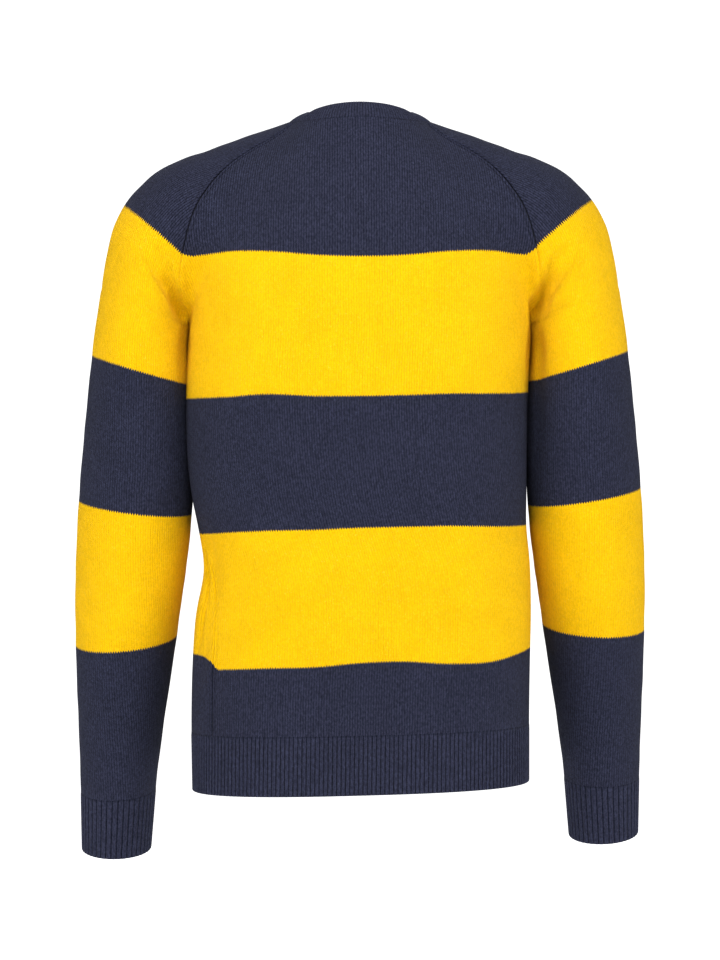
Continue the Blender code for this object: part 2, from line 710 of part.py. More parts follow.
plain_piece("back_panel", body_form, back, BODY_ROWS_BELOW)
plain_piece("front_panel", body_form, front, BODY_ROWS_BELOW)
for name, side in (("sleeve_left", 1), ("sleeve_right", -1)):
    rows = sleeve_rows(side, SLEEVE_COLUMNS, SLEEVE_ROWS_BELOW, shares)
    plain_piece(name, sleeve_form, rows, SLEEVE_ROWS_BELOW)
hem_rib("hem_rib_back", 1)
hem_rib("hem_rib_front", -1)
cuff_rib("cuff_left", 1)
cuff_rib("cuff_right", -1)
neckband()
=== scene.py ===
# %% [markdown]
# # A striped jumper with raglan sleeves, filled out
# The object is a fine-gauge wool jumper in wide navy and yellow stripes, seen from the back. Machines
# knit its front, back and two sleeves to shape, link them along the raglan seams, and knit ribs for the
# neck, hem and cuffs. This lesson builds each piece as a thin shell on one shared form, so that they
# meet along the seams as the real ones do, and then gives the wool its stitches, stripes and nap.

import bpy
import numpy as np
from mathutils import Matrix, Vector


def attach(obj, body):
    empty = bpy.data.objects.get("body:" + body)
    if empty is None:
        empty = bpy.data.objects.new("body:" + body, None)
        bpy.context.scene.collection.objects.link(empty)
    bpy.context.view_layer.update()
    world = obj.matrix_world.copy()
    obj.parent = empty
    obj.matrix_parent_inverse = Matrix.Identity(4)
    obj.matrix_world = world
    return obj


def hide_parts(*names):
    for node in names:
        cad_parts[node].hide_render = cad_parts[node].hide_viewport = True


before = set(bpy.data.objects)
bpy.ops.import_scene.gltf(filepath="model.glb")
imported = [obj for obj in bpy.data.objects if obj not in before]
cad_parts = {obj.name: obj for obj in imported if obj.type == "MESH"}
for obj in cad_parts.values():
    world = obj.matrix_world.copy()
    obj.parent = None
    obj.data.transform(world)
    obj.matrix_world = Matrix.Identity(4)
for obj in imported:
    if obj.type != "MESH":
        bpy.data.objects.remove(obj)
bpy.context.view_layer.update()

# %% [markdown]
# ## Sizes
# All sizes are in metres, in the frame of the solids: the jumper's front is at -Y, its left at +X, and
# the origin is the middle of the neck opening at the height of the shoulders' tops.

# %% Sizes of the jumper
# How thick the cloth is, and the heights of the armpits and of the tops of hem and cuffs
WALL = 0.0024
HEM_RIB_TOP = -0.625
ARMPIT = -0.215
CUFF_TOP = -0.691

# %% The torso's level rings
# Squareness 2 is an ellipse, and more is boxier
TORSO = (
    # height, half_width, back, front, squareness, middle_out
    (-0.720, 0.1730, 0.107, -0.110, 2.60, -0.0008),
    (-0.685, 0.1735, 0.108, -0.112, 2.60, -0.0008),
    (-0.607, 0.1742, 0.108, -0.115, 2.60, -0.0003),
    (-0.557, 0.1740, 0.108, -0.116, 2.60, -0.0012),
    (-0.507, 0.1728, 0.107, -0.117, 2.55, -0.0034),
    (-0.458, 0.1682, 0.106, -0.118, 2.50, -0.0068),
    (-0.420, 0.1692, 0.106, -0.119, 2.50, -0.0025),
    (-0.384, 0.1730, 0.107, -0.120, 2.50, 0.0010),
    (-0.330, 0.1762, 0.109, -0.121, 2.50, 0.0035),
    (-0.270, 0.1770, 0.113, -0.122, 2.50, 0.0030),
    (-0.215, 0.1765, 0.116, -0.121, 2.50, 0.0000),
    (-0.150, 0.1740, 0.116, -0.115, 2.50, 0.0000),
    (-0.100, 0.1600, 0.110, -0.103, 2.40, 0.0000),
    (-0.060, 0.1300, 0.099, -0.089, 2.20, 0.0000),
    (-0.030, 0.0980, 0.087, -0.076, 2.10, 0.0000),
    (0.000, 0.0680, 0.072, -0.063, 2.00, 0.0000),
    (0.040, 0.0560, 0.060, -0.052, 2.00, 0.0000),
)
print("torso:", len(TORSO), "rings, at most", 2 * max(row[1] for row in TORSO), "wide")

# %% The sleeve's line and its courses
# The sleeve from inside the neck to below the cuff: the line over the shoulder and down the outside of
# the arm, half the tube's width and depth there, and how far back its middle is
SLEEVE = (
    # crest_out, crest_up, half_width, half_depth, middle_back
    (0.0340, 0.0060, 0.0480, 0.0480, 0.004),
    (0.0620, 0.0010, 0.0510, 0.0530, 0.003),
    (0.0832, -0.0055, 0.0540, 0.0580, 0.002),
    (0.1210, -0.0178, 0.0590, 0.0650, 0.001),
    (0.1555, -0.0303, 0.0630, 0.0700, 0.000),
    (0.1900, -0.0426, 0.0660, 0.0740, 0.000),
    (0.2123, -0.0550, 0.0660, 0.0760, 0.000),
    (0.2262, -0.0674, 0.0650, 0.0770, 0.000),
    (0.2376, -0.0800, 0.0630, 0.0770, 0.000),
    (0.2523, -0.1046, 0.0600, 0.0760, 0.000),
    (0.2612, -0.1380, 0.0560, 0.0740, 0.000),
    (0.2675, -0.1750, 0.0510, 0.0710, -0.001),
    (0.2740, -0.2150, 0.0495, 0.0680, -0.003),
    (0.2800, -0.2650, 0.0535, 0.0640, -0.006),
    (0.2860, -0.3220, 0.0575, 0.0600, -0.011),
    (0.2915, -0.3800, 0.0592, 0.0575, -0.016),
    (0.2950, -0.4340, 0.0585, 0.0560, -0.022),
    (0.2970, -0.4840, 0.0560, 0.0535, -0.029),
    (0.2972, -0.5350, 0.0525, 0.0505, -0.038),
    (0.2966, -0.5870, 0.0480, 0.0475, -0.048),
    (0.2955, -0.6370, 0.0435, 0.0440, -0.058),
    (0.2948, -0.6880, 0.0397, 0.0410, -0.068),
    (0.2948, -0.7390, 0.0372, 0.0390, -0.078),
    (0.2955, -0.7900, 0.0365, 0.0385, -0.088),
)
# The sleeve is a chain of this many ellipsoids, each with this half length along the arm
SLEEVE_SAMPLES = 90
SLEEVE_REACH = 0.040
# Heights on that line of the courses that reach the armpit and the neck
SLEEVE_ARMPIT = -0.178
SLEEVE_NECK = 0.0010

# The courses of the sleeve: how far the outer side is above the inner side, and how far the front is
# above the back, in degrees, against the height of the course at the crest
COURSE_TILT = (
    # height, up_outside, up_front
    (-0.760, 2.0, 11.0),
    (-0.640, -2.0, 12.0),
    (-0.530, -4.0, 11.0),
    (-0.385, 8.0, 6.0),
    (-0.237, 17.0, 2.0),
    (-0.178, 22.0, 0.0),
)

# %% The raglan seams, the neckline and the side seams
# Raglan seams, from the armpit to the neck
SEAM_BACK = (
    # out, back, up
    (0.1760, -0.004, -0.2150),
    (0.1800, 0.030, -0.1970),
    (0.1825, 0.055, -0.1740),
    (0.1812, 0.067, -0.1540),
    (0.1780, 0.074, -0.1350),
    (0.1725, 0.077, -0.1130),
    (0.1660, 0.074, -0.0945),
    (0.1560, 0.069, -0.0768),
    (0.1440, 0.062, -0.0605),
    (0.1285, 0.054, -0.0462),
    (0.1080, 0.047, -0.0310),
    (0.0880, 0.040, -0.0190),
    (0.0680, 0.024, -0.0070),
)
SEAM_FRONT = (
    # out, back, up
    (0.1760, -0.004, -0.2150),
    (0.1745, -0.040, -0.1970),
    (0.1680, -0.066, -0.1680),
    (0.1540, -0.084, -0.1360),
    (0.1350, -0.090, -0.1060),
    (0.1150, -0.086, -0.0800),
    (0.0920, -0.070, -0.0540),
    (0.0710, -0.038, -0.0260),
)

# The neckline's left half, from the middle of the back to the middle of the front, and how far the
# neckband leans inwards there, in degrees. The raglan seams meet it at its rows 3 and 5.
NECKLINE = (
    # out, back, up, lean
    (0.0000, 0.0740, -0.0037, 38.0),
    (0.0280, 0.0695, -0.0045, 39.0),
    (0.0520, 0.0530, -0.0062, 46.0),
    (0.0680, 0.0240, -0.0070, 58.0),
    (0.0720, -0.0080, -0.0090, 62.0),
    (0.0710, -0.0380, -0.0260, 56.0),
    (0.0620, -0.0680, -0.0560, 48.0),
    (0.0380, -0.0890, -0.0830, 45.0),
    (0.0000, -0.0985, -0.0940, 44.0),
)
NECK_AT_BACK_SEAM = 3
NECK_AT_FRONT_SEAM = 5

# The side seams lie towards the back low down: degrees round the ring from the widest point
SIDE_SEAM = (
    # height, left, right
    (-0.700, 36.0, 12.0),
    (-0.600, 37.0, 12.0),
    (-0.500, 34.0, 10.0),
    (-0.400, 14.0, 5.0),
    (-0.300, 3.0, 1.0),
    (-0.215, -1.0, -1.0),
)

# %% The fillet and the largest folds
# How wide the fillet between torso and sleeve is, and how far the sleeve keeps from the torso below it
FILLET = (
    # height, fillet, clear
    (-0.800, 0.003, 0.0006),
    (-0.440, 0.003, 0.0006),
    (-0.400, 0.003, -0.0016),
    (-0.232, 0.003, -0.0016),
    (-0.215, 0.003, -0.0014),
    (-0.195, 0.006, -0.0008),
    (-0.170, 0.014, 0.0000),
    (-0.150, 0.024, 0.0003),
    (-0.130, 0.034, 0.0003),
    (-0.060, 0.026, 0.0003),
    (-0.025, 0.009, 0.0003),
    (0.040, 0.005, 0.0003),
)
# Over this height above the armpit the body and the sleeve run into one
JOIN_HIGH = 0.012

# The largest folds: troughs between two points, with how wide and how deep they are. Those at the
# armpits are on both sides, and the one at the waist is at the left only.
ARMPIT_FOLDS = (
    # start, end, width, depth
    ((0.2060, 0.072, -0.148), (0.1920, 0.062, -0.172), 0.009, 0.006),
    ((0.1920, 0.062, -0.172), (0.1810, 0.045, -0.200), 0.009, 0.006),
    ((0.2050, -0.078, -0.150), (0.1840, -0.055, -0.200), 0.010, 0.005),
)
WAIST_FOLDS = (
    # start, end, width, depth
    ((0.1610, 0.050, -0.430), (0.1545, 0.059, -0.472), 0.010, 0.006),
    ((0.1545, 0.059, -0.472), (0.1580, 0.057, -0.505), 0.010, 0.007),
    ((0.1580, 0.057, -0.505), (0.1640, 0.049, -0.560), 0.010, 0.005),
)

# %% [markdown]
# ## The form
# A jumper that is filled out takes its shape from the cut: a torso and two sleeves that run into each
# other at the shoulders. A distance function joins them with a fillet, and each piece's grid of points
# is moved onto the surface where that function is zero.

# %% Reading the tables
def read_table(table, at):
    """The table's columns at values of its first one, on smooth curves through the rows."""
    rows = np.array(table, float)
    knots, values = rows[:, 0], rows[:, 1:]
    slopes = np.gradient(values, knots, axis=0)
    at = np.clip(np.asarray(at, float), knots[0], knots[-1])
    low = np.clip(np.searchsorted(knots, at, side="right") - 1, 0, len(knots) - 2)
    step = knots[low + 1] - knots[low]
    t = ((at - knots[low]) / step)[..., None]
    step = step[..., None]
    return (
        (2 * t**3 - 3 * t**2 + 1) * values[low]
        + (t**3 - 2 * t**2 + t) * step * slopes[low]
        + (3 * t**2 - 2 * t**3) * values[low + 1]
        + (t**3 - t**2) * step * slopes[low + 1]
    )


# Nothing is divided by less than this
TINY = 1e-9


def unit(v):
    return v / np.maximum(np.linalg.norm(v, axis=-1, keepdims=True), TINY)


def numbered(table):
    """The table with its row's number as the first column."""
    return [(i, *row) for i, row in enumerate(table)]


def lengthened(table):
    """The table with the distance along its first two columns' line as the first column."""
    rows = np.array(table)
    far = np.concatenate([[0], np.cumsum(np.linalg.norm(np.diff(rows[:, :2], axis=0), axis=1))])
    return np.column_stack([far, rows])


# %% The torso and sleeves as one form
SLEEVE_BY_LENGTH = lengthened(SLEEVE)
CREST_STEP = 2e-3
print("sleeve's line:", round(SLEEVE_BY_LENGTH[-1, 0], 3), "long")


def sleeve_frame(far):
    """Crest, middle, axis, outward and backward directions and half sizes at lengths along the crest."""
    far = np.clip(far, CREST_STEP, SLEEVE_BY_LENGTH[-1, 0] - CREST_STEP)
    out, up, half_width, half_depth, back = read_table(SLEEVE_BY_LENGTH, far).T
    ahead = read_table(SLEEVE_BY_LENGTH, far + CREST_STEP)
    behind = read_table(SLEEVE_BY_LENGTH, far - CREST_STEP)
    along = (ahead - behind)[..., [0, 4, 1]]
    outward = unit(np.stack([-along[..., 2], 0 * out, along[..., 0]], -1))
    backward = unit(np.cross(unit(along), outward))
    backward *= np.sign(backward[..., 1:2])
    crest = np.stack([out, back, up], -1)
    middle = crest - outward * half_width[..., None]
    return crest, middle, np.cross(outward, backward), outward, backward, half_width, half_depth


CHAIN = sleeve_frame(np.linspace(0, SLEEVE_BY_LENGTH[-1, 0], SLEEVE_SAMPLES))


# The small step over which a ring's slope is measured
RING_STEP = 1e-4


def torso_ring_value(p, height):
    """1 on the torso's ring at a height, less inside it and more outside."""
    half_width, back, front, square, middle_out = read_table(TORSO, height).T
    middle, half_depth = (back + front) / 2, (back - front) / 2
    across = np.maximum(np.abs(p[:, 0] - middle_out) / half_width, TINY) ** square
    deep = np.maximum(np.abs(p[:, 1] - middle) / half_depth, TINY) ** square
    return (across + deep) ** (1 / square)


def torso_distance(p):
    """About how far each point is outside the torso."""
    value = torso_ring_value(p, p[:, 2])
    steep = 0
    for d in np.eye(3) * RING_STEP:
        change = torso_ring_value(p + d, p[:, 2] + d[2]) - torso_ring_value(p - d, p[:, 2] - d[2])
        steep = steep + (change / (2 * RING_STEP)) ** 2
    return (value - 1) / np.maximum(np.sqrt(steep), TINY)


def sleeve_distance(p):
    """About how far each point is outside the nearer sleeve, which is a chain of ellipsoids."""
    _, middle, axis, outward, backward, half_width, half_depth = CHAIN
    q = np.stack([np.abs(p[:, 0]), p[:, 1], p[:, 2]], -1)
    local = [q @ way.T - np.sum(middle * way, 1) for way in (outward, backward, axis)]
    sizes = (half_width, half_depth, SLEEVE_REACH)
    near = np.sqrt(sum((part / size) ** 2 for part, size in zip(local, sizes)))
    steep = np.sqrt(sum((part / size**2) ** 2 for part, size in zip(local, sizes)))
    return (near * (near - 1) / np.maximum(steep, TINY)).min(axis=1)


def blend_lower(a, b, width):
    """The lower of two distances, with a fillet of this width where they are alike."""
    h = np.maximum(width - np.abs(a - b), 0) / width
    return np.minimum(a, b) - h * h * width / 4


def trough(p, start, end, width, depth):
    """The depth at each point of a soft trough along a line."""
    start, end = np.array(start), np.array(end)
    along = end - start
    t = np.clip((p - start) @ along / (along @ along), 0, 1)
    gap = np.linalg.norm(p - start - t[:, None] * along, axis=1)
    return depth * np.exp(-((gap / width) ** 2))


def folds(p):
    """How much deeper than the smooth form the cloth lies."""
    either_side = np.stack([np.abs(p[:, 0]), p[:, 1], p[:, 2]], -1)
    dip = np.maximum.reduce([trough(either_side, *fold) for fold in ARMPIT_FOLDS])
    return dip + np.maximum.reduce([trough(p, *fold) for fold in WAIST_FOLDS])


def body_form(p):
    """Zero on the outer side of the front and back."""
    torso, sleeve = torso_distance(p), sleeve_distance(p)
    fillet, _ = read_table(FILLET, p[:, 2]).T
    joined = np.clip((p[:, 2] - ARMPIT) / JOIN_HIGH, 0, 1)
    return torso + joined * (blend_lower(torso, sleeve, fillet) - torso) + folds(p)


def sleeve_form(p):
    """Zero on the outer side of the sleeves, which keep clear of the torso below the armpit."""
    torso, sleeve = torso_distance(p), sleeve_distance(p)
    fillet, clear = read_table(FILLET, p[:, 2]).T
    joined = np.clip((p[:, 2] - ARMPIT) / JOIN_HIGH, 0, 1)
    apart = -blend_lower(-sleeve, torso - clear, fillet)
    return apart + joined * (blend_lower(torso, sleeve, fillet) - apart) + folds(p)


# The small step over which a form's slope is measured
SLOPE_STEP = 3e-4


def slope_of(form, p):
    """How fast the form rises along each axis at each point."""
    rises = [form(p + d) - form(p - d) for d in np.eye(3) * SLOPE_STEP]
    return np.stack(rises, -1) / (2 * SLOPE_STEP)


# How often points move towards the form, how far at most each time, and the least slope they go by
SETTLE_ROUNDS = 6
LONGEST_MOVE = 0.02
LEAST_SLOPE = 0.05


def settle(form, p, normal=None):
    """Moves points onto the form, in the planes with these normals if they are given."""
    shape, p = p.shape, p.reshape(-1, 3).copy()
    if normal is not None:
        normal = np.broadcast_to(normal, shape).reshape(-1, 3)
    for _ in range(SETTLE_ROUNDS):
        slope = slope_of(form, p)
        if normal is not None:
            slope = slope - np.sum(slope * normal, 1, keepdims=True) * normal
        move = form(p)[:, None] * slope / np.maximum(np.sum(slope**2, 1, keepdims=True), LEAST_SLOPE)
        p -= np.clip(move, -LONGEST_MOVE, LONGEST_MOVE)
    return p.reshape(shape)


def outward_of(form, p):
    return unit(slope_of(form, p.reshape(-1, 3))).reshape(p.shape)


def by_length(line, shares):
    """Points at shares of the length of a line of points."""
    far = np.concatenate([[0], np.cumsum(np.linalg.norm(np.diff(line, axis=0), axis=1))])
    return np.stack([np.interp(np.asarray(shares) * far[-1], far, line[:, k]) for k in range(3)], -1)


SEAM_POINTS = 160


def seam_line(table, shares):
    """Points on the +X side's raglan seam at shares of its length, from the armpit to the neck."""
    fine = read_table(numbered(table), np.linspace(0, len(table) - 1, SEAM_POINTS))
    fine[1:] = settle(body_form, fine[1:])
    return by_length(fine, shares)


def ring_point(degrees, up):
    """Points of the torso's rings at angles from +X towards +Y."""
    half_width, back, front, square, middle_out = read_table(TORSO, up).T
    middle, half_depth = (back + front) / 2, (back - front) / 2
    c, s = np.cos(np.radians(degrees)), np.sin(np.radians(degrees))
    reach = (np.abs(c) ** square + np.abs(s) ** square) ** (-1 / square)
    return np.stack([middle_out + half_width * c * reach, middle + half_depth * s * reach, up], -1)


def ring_angle(point):
    """The angle at which a point lies on its level ring."""
    _, back, front, _, _ = level = read_table(TORSO, point[2])
    return np.degrees(np.arctan2(2 * (point[1] - (back + front) / 2) / (back - front), point[0] / level[0]))


def mirrored(p):
    return p * [-1, 1, 1]


NECK_POINTS = 400


def half_neckline():
    """Points on the neckline's left half with the neckband's lean, and the lengths at NECKLINE's rows."""
    table = np.array(NECKLINE)
    other = table * [-1, 1, 1, 1]
    both = np.concatenate([other[2:0:-1], table, other[-2:-4:-1]])
    at = np.linspace(2, len(table) + 1, NECK_POINTS)
    line = read_table(numbered(both), at)
    line[:, :3] = settle(body_form, line[:, :3])
    line[0, 0] = line[-1, 0] = 0
    far = np.concatenate([[0], np.cumsum(np.linalg.norm(np.diff(line[:, :3], axis=0), axis=1))])
    return line, far, np.interp(np.arange(len(table)) + 2, at, far)


def neck_points(first_row, last_row, count):
    """Points and leans spaced evenly along the neckline's left half between two rows of NECKLINE."""
    line, far, rows = half_neckline()
    at = np.linspace(rows[first_row], rows[last_row], count)
    points = np.stack([np.interp(at, far, line[:, k]) for k in range(4)], -1)
    return points[:, :3], points[:, 3]


# %% [markdown]
# ## Rows and columns of knitting
# Flat knitting is a grid of stitches: rows called courses and columns called wales. Each piece here is a
# grid too, with its rows along the courses and its columns from the rib to the neck, so that stripes and
# stitches can follow it. Rows start on the torso's rings or round the sleeve and then settle on the form.

# %% The grids of the back and the front
# How quickly a row's end runs out to its seam: the power of the share of the way there
EDGE_FADE = 4


def body_grid(facing, columns, rows_below, yoke_shares):
    """Rows of points of the back (facing 1) or the front (facing -1), from the rib's top to the neck."""
    rows = []
    turn = np.linspace(0, 1, columns + 1)
    for height in np.linspace(HEM_RIB_TOP, ARMPIT, rows_below, endpoint=False):
        left, right = read_table(SIDE_SEAM, height)
        last = facing * 180 - right
        rows.append(ring_point(left + (last - left) * turn, np.full(columns + 1, height)))
    seam = seam_line(SEAM_BACK if facing > 0 else SEAM_FRONT, yoke_shares)
    if facing > 0:
        half, _ = neck_points(NECK_AT_BACK_SEAM, 0, columns // 2 + 1)
    else:
        half, _ = neck_points(NECK_AT_FRONT_SEAM, len(NECKLINE) - 1, columns // 2 + 1)
    seam[-1] = half[0]
    neck = np.concatenate([half, mirrored(half)[-2::-1]])
    near_seam = np.abs(2 * turn - 1)
    for share, point in zip(yoke_shares, seam):
        middle = ARMPIT + (neck[columns // 2, 2] - ARMPIT) * share
        first = ring_angle(point)
        last = facing * 180 - first
        up = point[2] + (middle - point[2]) * (1 - near_seam**2)
        row = ring_point(first + (last - first) * turn, up)
        off = point - row[0]
        row += near_seam[:, None] ** EDGE_FADE * np.where(turn[:, None] < 0.5, off, mirrored(off))
        rows.append(row)
    rows = np.array(rows)
    rows[rows_below:] += np.array(yoke_shares)[:, None, None] ** EDGE_FADE * (neck - rows[-1])
    normals = np.zeros(rows.shape)
    normals[: rows_below + 1] = (0, 0, 1)
    rows = settle(body_form, rows, normals)
    rows[rows_below:, 0], rows[rows_below:, -1] = seam, mirrored(seam)
    rows[-1] = neck
    return rows


# %% The grids of the sleeves
def sleeve_rows(side, columns, rows_below, yoke_shares):
    """Rows of points round the sleeve at +X (side 1) or -X (side -1), from the cuff's top to the neck.

    Each row runs from the underarm, or the back seam, over the back, the outside and the front.
    """
    back, front = seam_line(SEAM_BACK, yoke_shares), seam_line(SEAM_FRONT, yoke_shares)
    neck, _ = neck_points(NECK_AT_BACK_SEAM, NECK_AT_FRONT_SEAM, columns + 1)
    back[-1], front[-1] = neck[0], neck[-1]
    armpit_at, neck_at, cuff_at = (crest_length(up) for up in (SLEEVE_ARMPIT, SLEEVE_NECK, CUFF_TOP))
    rows, normals = [], []
    for at in np.linspace(cuff_at, armpit_at, rows_below, endpoint=False):
        row, normal = sleeve_ring(at, columns)
        rows.append(row)
        normals.append(np.tile(normal, (columns + 1, 1)))
    for share, from_point, to_point in zip(yoke_shares, back, front):
        at = armpit_at + (neck_at - armpit_at) * share
        crest, _, _, _, _, half_width, half_depth = sleeve_frame(np.array(at))
        e1 = unit(crest - (from_point + to_point) / 2)
        e2 = unit(np.array([0.0, 1.0, 0.0]) - e1[1] * e1)
        e3 = np.cross(e1, e2)
        centre = crest - half_width * e1
        ends = []
        for point, sign in ((from_point, 1), (to_point, -1)):
            d = point - centre
            angle = np.arctan2(d @ e2, d @ e1)
            if share == 0:
                angle = sign * np.pi
            reach = np.hypot(np.cos(angle) / half_width, np.sin(angle) / half_depth) ** -1
            ends.append((angle, np.hypot(d @ e1, d @ e2) - reach, d @ e3))
        angle = np.linspace(ends[0][0], ends[1][0], columns + 1)
        reach = np.hypot(np.cos(angle) / half_width, np.sin(angle) / half_depth) ** -1
        off = np.zeros(columns + 1)
        for (end, longer, aside), half in zip(ends, (angle >= 0, angle < 0)):
            reach += np.where(half, (angle / end) ** EDGE_FADE, 0) * longer
            off += np.where(half, (angle / end) ** 2, 0) * aside
        row = centre + np.outer(reach * np.cos(angle), e1) + np.outer(reach * np.sin(angle), e2)
        rows.append(row + np.outer(off, e3))
        normals.append(np.zeros((columns + 1, 3)))
    rows = np.array(rows)
    rows[rows_below:] += np.array(yoke_shares)[:, None, None] ** EDGE_FADE * (neck - rows[-1])
    sided = np.array([side, 1, 1])
    rows = settle(sleeve_form, rows * sided, np.array(normals) * sided)
    rows[rows_below:, 0], rows[rows_below:, -1] = back * sided, front * sided
    rows[-1] = neck * sided
    return rows


CREST_POINTS = 4000


def crest_length(up):
    """How far along the sleeve's crest the point at this height is."""
    far = np.linspace(0, SLEEVE_BY_LENGTH[-1, 0], CREST_POINTS)
    return np.interp(-up, -read_table(SLEEVE_BY_LENGTH, far)[:, 1], far)


def sleeve_ring(at, columns):
    """A course round the +X sleeve below the armpit, and the normal of its plane."""
    crest, _, _, _, _, half_width, half_depth = sleeve_frame(np.array(at))
    up_outside, up_front = np.radians(read_table(COURSE_TILT, crest[2]))
    e1 = np.array([np.cos(up_outside), 0.0, np.sin(up_outside)])
    e2 = np.array([0.0, np.cos(up_front), -np.sin(up_front)])
    angle = np.linspace(np.pi, -np.pi, columns + 1)
    row = crest - half_width * e1
    row = row + np.outer(half_width * np.cos(angle), e1) + np.outer(half_depth * np.sin(angle), e2)
    return row, unit(np.cross(e1, e2))


# %% How the jumper hangs
# How far its left hangs below the middle, for each metre out and each metre down from this level
HANG_SKEW = 0.045
HANG_LEVEL = -0.08


def hang(p):
    """The jumper hangs a little lower at its left than at its right."""
    p = p.copy()
    p[..., 2] -= HANG_SKEW * p[..., 0] * np.maximum(HANG_LEVEL - p[..., 2], 0)
    return p


def line_length(line):
    return np.linalg.norm(np.diff(line, axis=0), axis=1).sum()


def relaxed(loop, rounds):
    """A loop of directions, with its first one repeated at its end, evened out."""
    for _ in range(rounds):
        loop = 0.5 * loop + 0.25 * (np.roll(loop, 1, 0) + np.roll(loop, -1, 0))
    return unit(np.concatenate([loop, loop[:1]]))


# %% [markdown]
# ## From grids to cloth
# A real panel is smooth between the points that the form settles, so each grid is refined by smooth
# curves through its rows and columns. Near a seam the cloth rolls inwards over a few millimetres, which
# is too fine for the form, so columns are added there and moved along the cloth's normal.

# %% Finer grids
# Each step of a grid is divided into this many. From this share of the way to the seams on, the rows
# above and below the armpit are smoothed apart.
FINER = 3
PARTED_FROM = 0.6


def smoother(grid, axis, times):
    """The grid with smooth curves through its points along one axis, and times as many steps."""
    grid = np.moveaxis(grid, axis, 0)
    padded = np.concatenate([2 * grid[:1] - grid[1:2], grid, 2 * grid[-1:] - grid[-2:-1]])
    at = np.linspace(0, len(grid) - 1, (len(grid) - 1) * times + 1)
    low = np.minimum(at.astype(int), len(grid) - 2)
    t = (at - low).reshape(-1, *[1] * (grid.ndim - 1))
    a, b, c, d = (padded[low + k] for k in range(4))
    line = 2 * b + (c - a) * t + (2 * a - 5 * b + 4 * c - d) * t**2 + (3 * b - a - 3 * c + d) * t**3
    return np.moveaxis(line / 2, 0, axis)


def finer(grid, armpit):
    """The grid refined both ways. Near the seams its rows below and above the armpit stay apart."""
    grid = smoother(grid, 1, FINER)
    joined = smoother(grid, 0, FINER)
    below, above = smoother(grid[: armpit + 1], 0, FINER), smoother(grid[armpit:], 0, FINER)
    parted = np.concatenate([below, above[1:]])
    side = np.abs(np.linspace(-1, 1, grid.shape[1]))
    share = np.clip((side - PARTED_FROM) / (1 - PARTED_FROM), 0, 1)[None, :, None]
    share = share * share * (3 - 2 * share)
    return joined + share * (parted - joined)


def row_lengths(grid):
    """How far along its row each point is."""
    steps = np.linalg.norm(np.diff(grid[..., :3], axis=1), axis=2)
    return np.concatenate([np.zeros((len(grid), 1)), np.cumsum(steps, axis=1)], 1)


def crowded(grid, near_edge):
    """The grid with extra columns at these distances from both ends of each row.

    Numbers after a point's first three are carried along.
    """
    near_edge = np.array(near_edge)
    columns = grid.shape[1]
    lengths = row_lengths(grid)
    rows = []
    for row, far in zip(grid, lengths):
        middle = np.linspace(near_edge[-1], far[-1] - near_edge[-1], columns + 1)[1:-1]
        at = np.concatenate([near_edge, middle, far[-1] - near_edge[::-1]])
        rows.append(np.stack([np.interp(at, far, row[:, k]) for k in range(row.shape[1])], -1))
    return np.array(rows)


def grid_normals(grid, inside):
    """The cloth's normals, away from a line through the point inside at each height."""
    normal = unit(np.cross(np.gradient(grid, axis=1), np.gradient(grid, axis=0)))
    middle = grid.shape[1] // 2
    out = np.sum(normal[:, middle] * (grid[:, middle] - inside), -1)
    return normal * np.sign(np.median(out))


def evened(values, rounds):
    """The values averaged with their neighbours in both directions of the grid."""
    for _ in range(rounds):
        for axis in range(values.ndim - 1):
            line = np.moveaxis(values, axis, 0)
            padded = np.concatenate([line[:1], line, line[-1:]])
            values = np.moveaxis(0.5 * line + 0.25 * (padded[:-2] + padded[2:]), 0, axis)
    return values
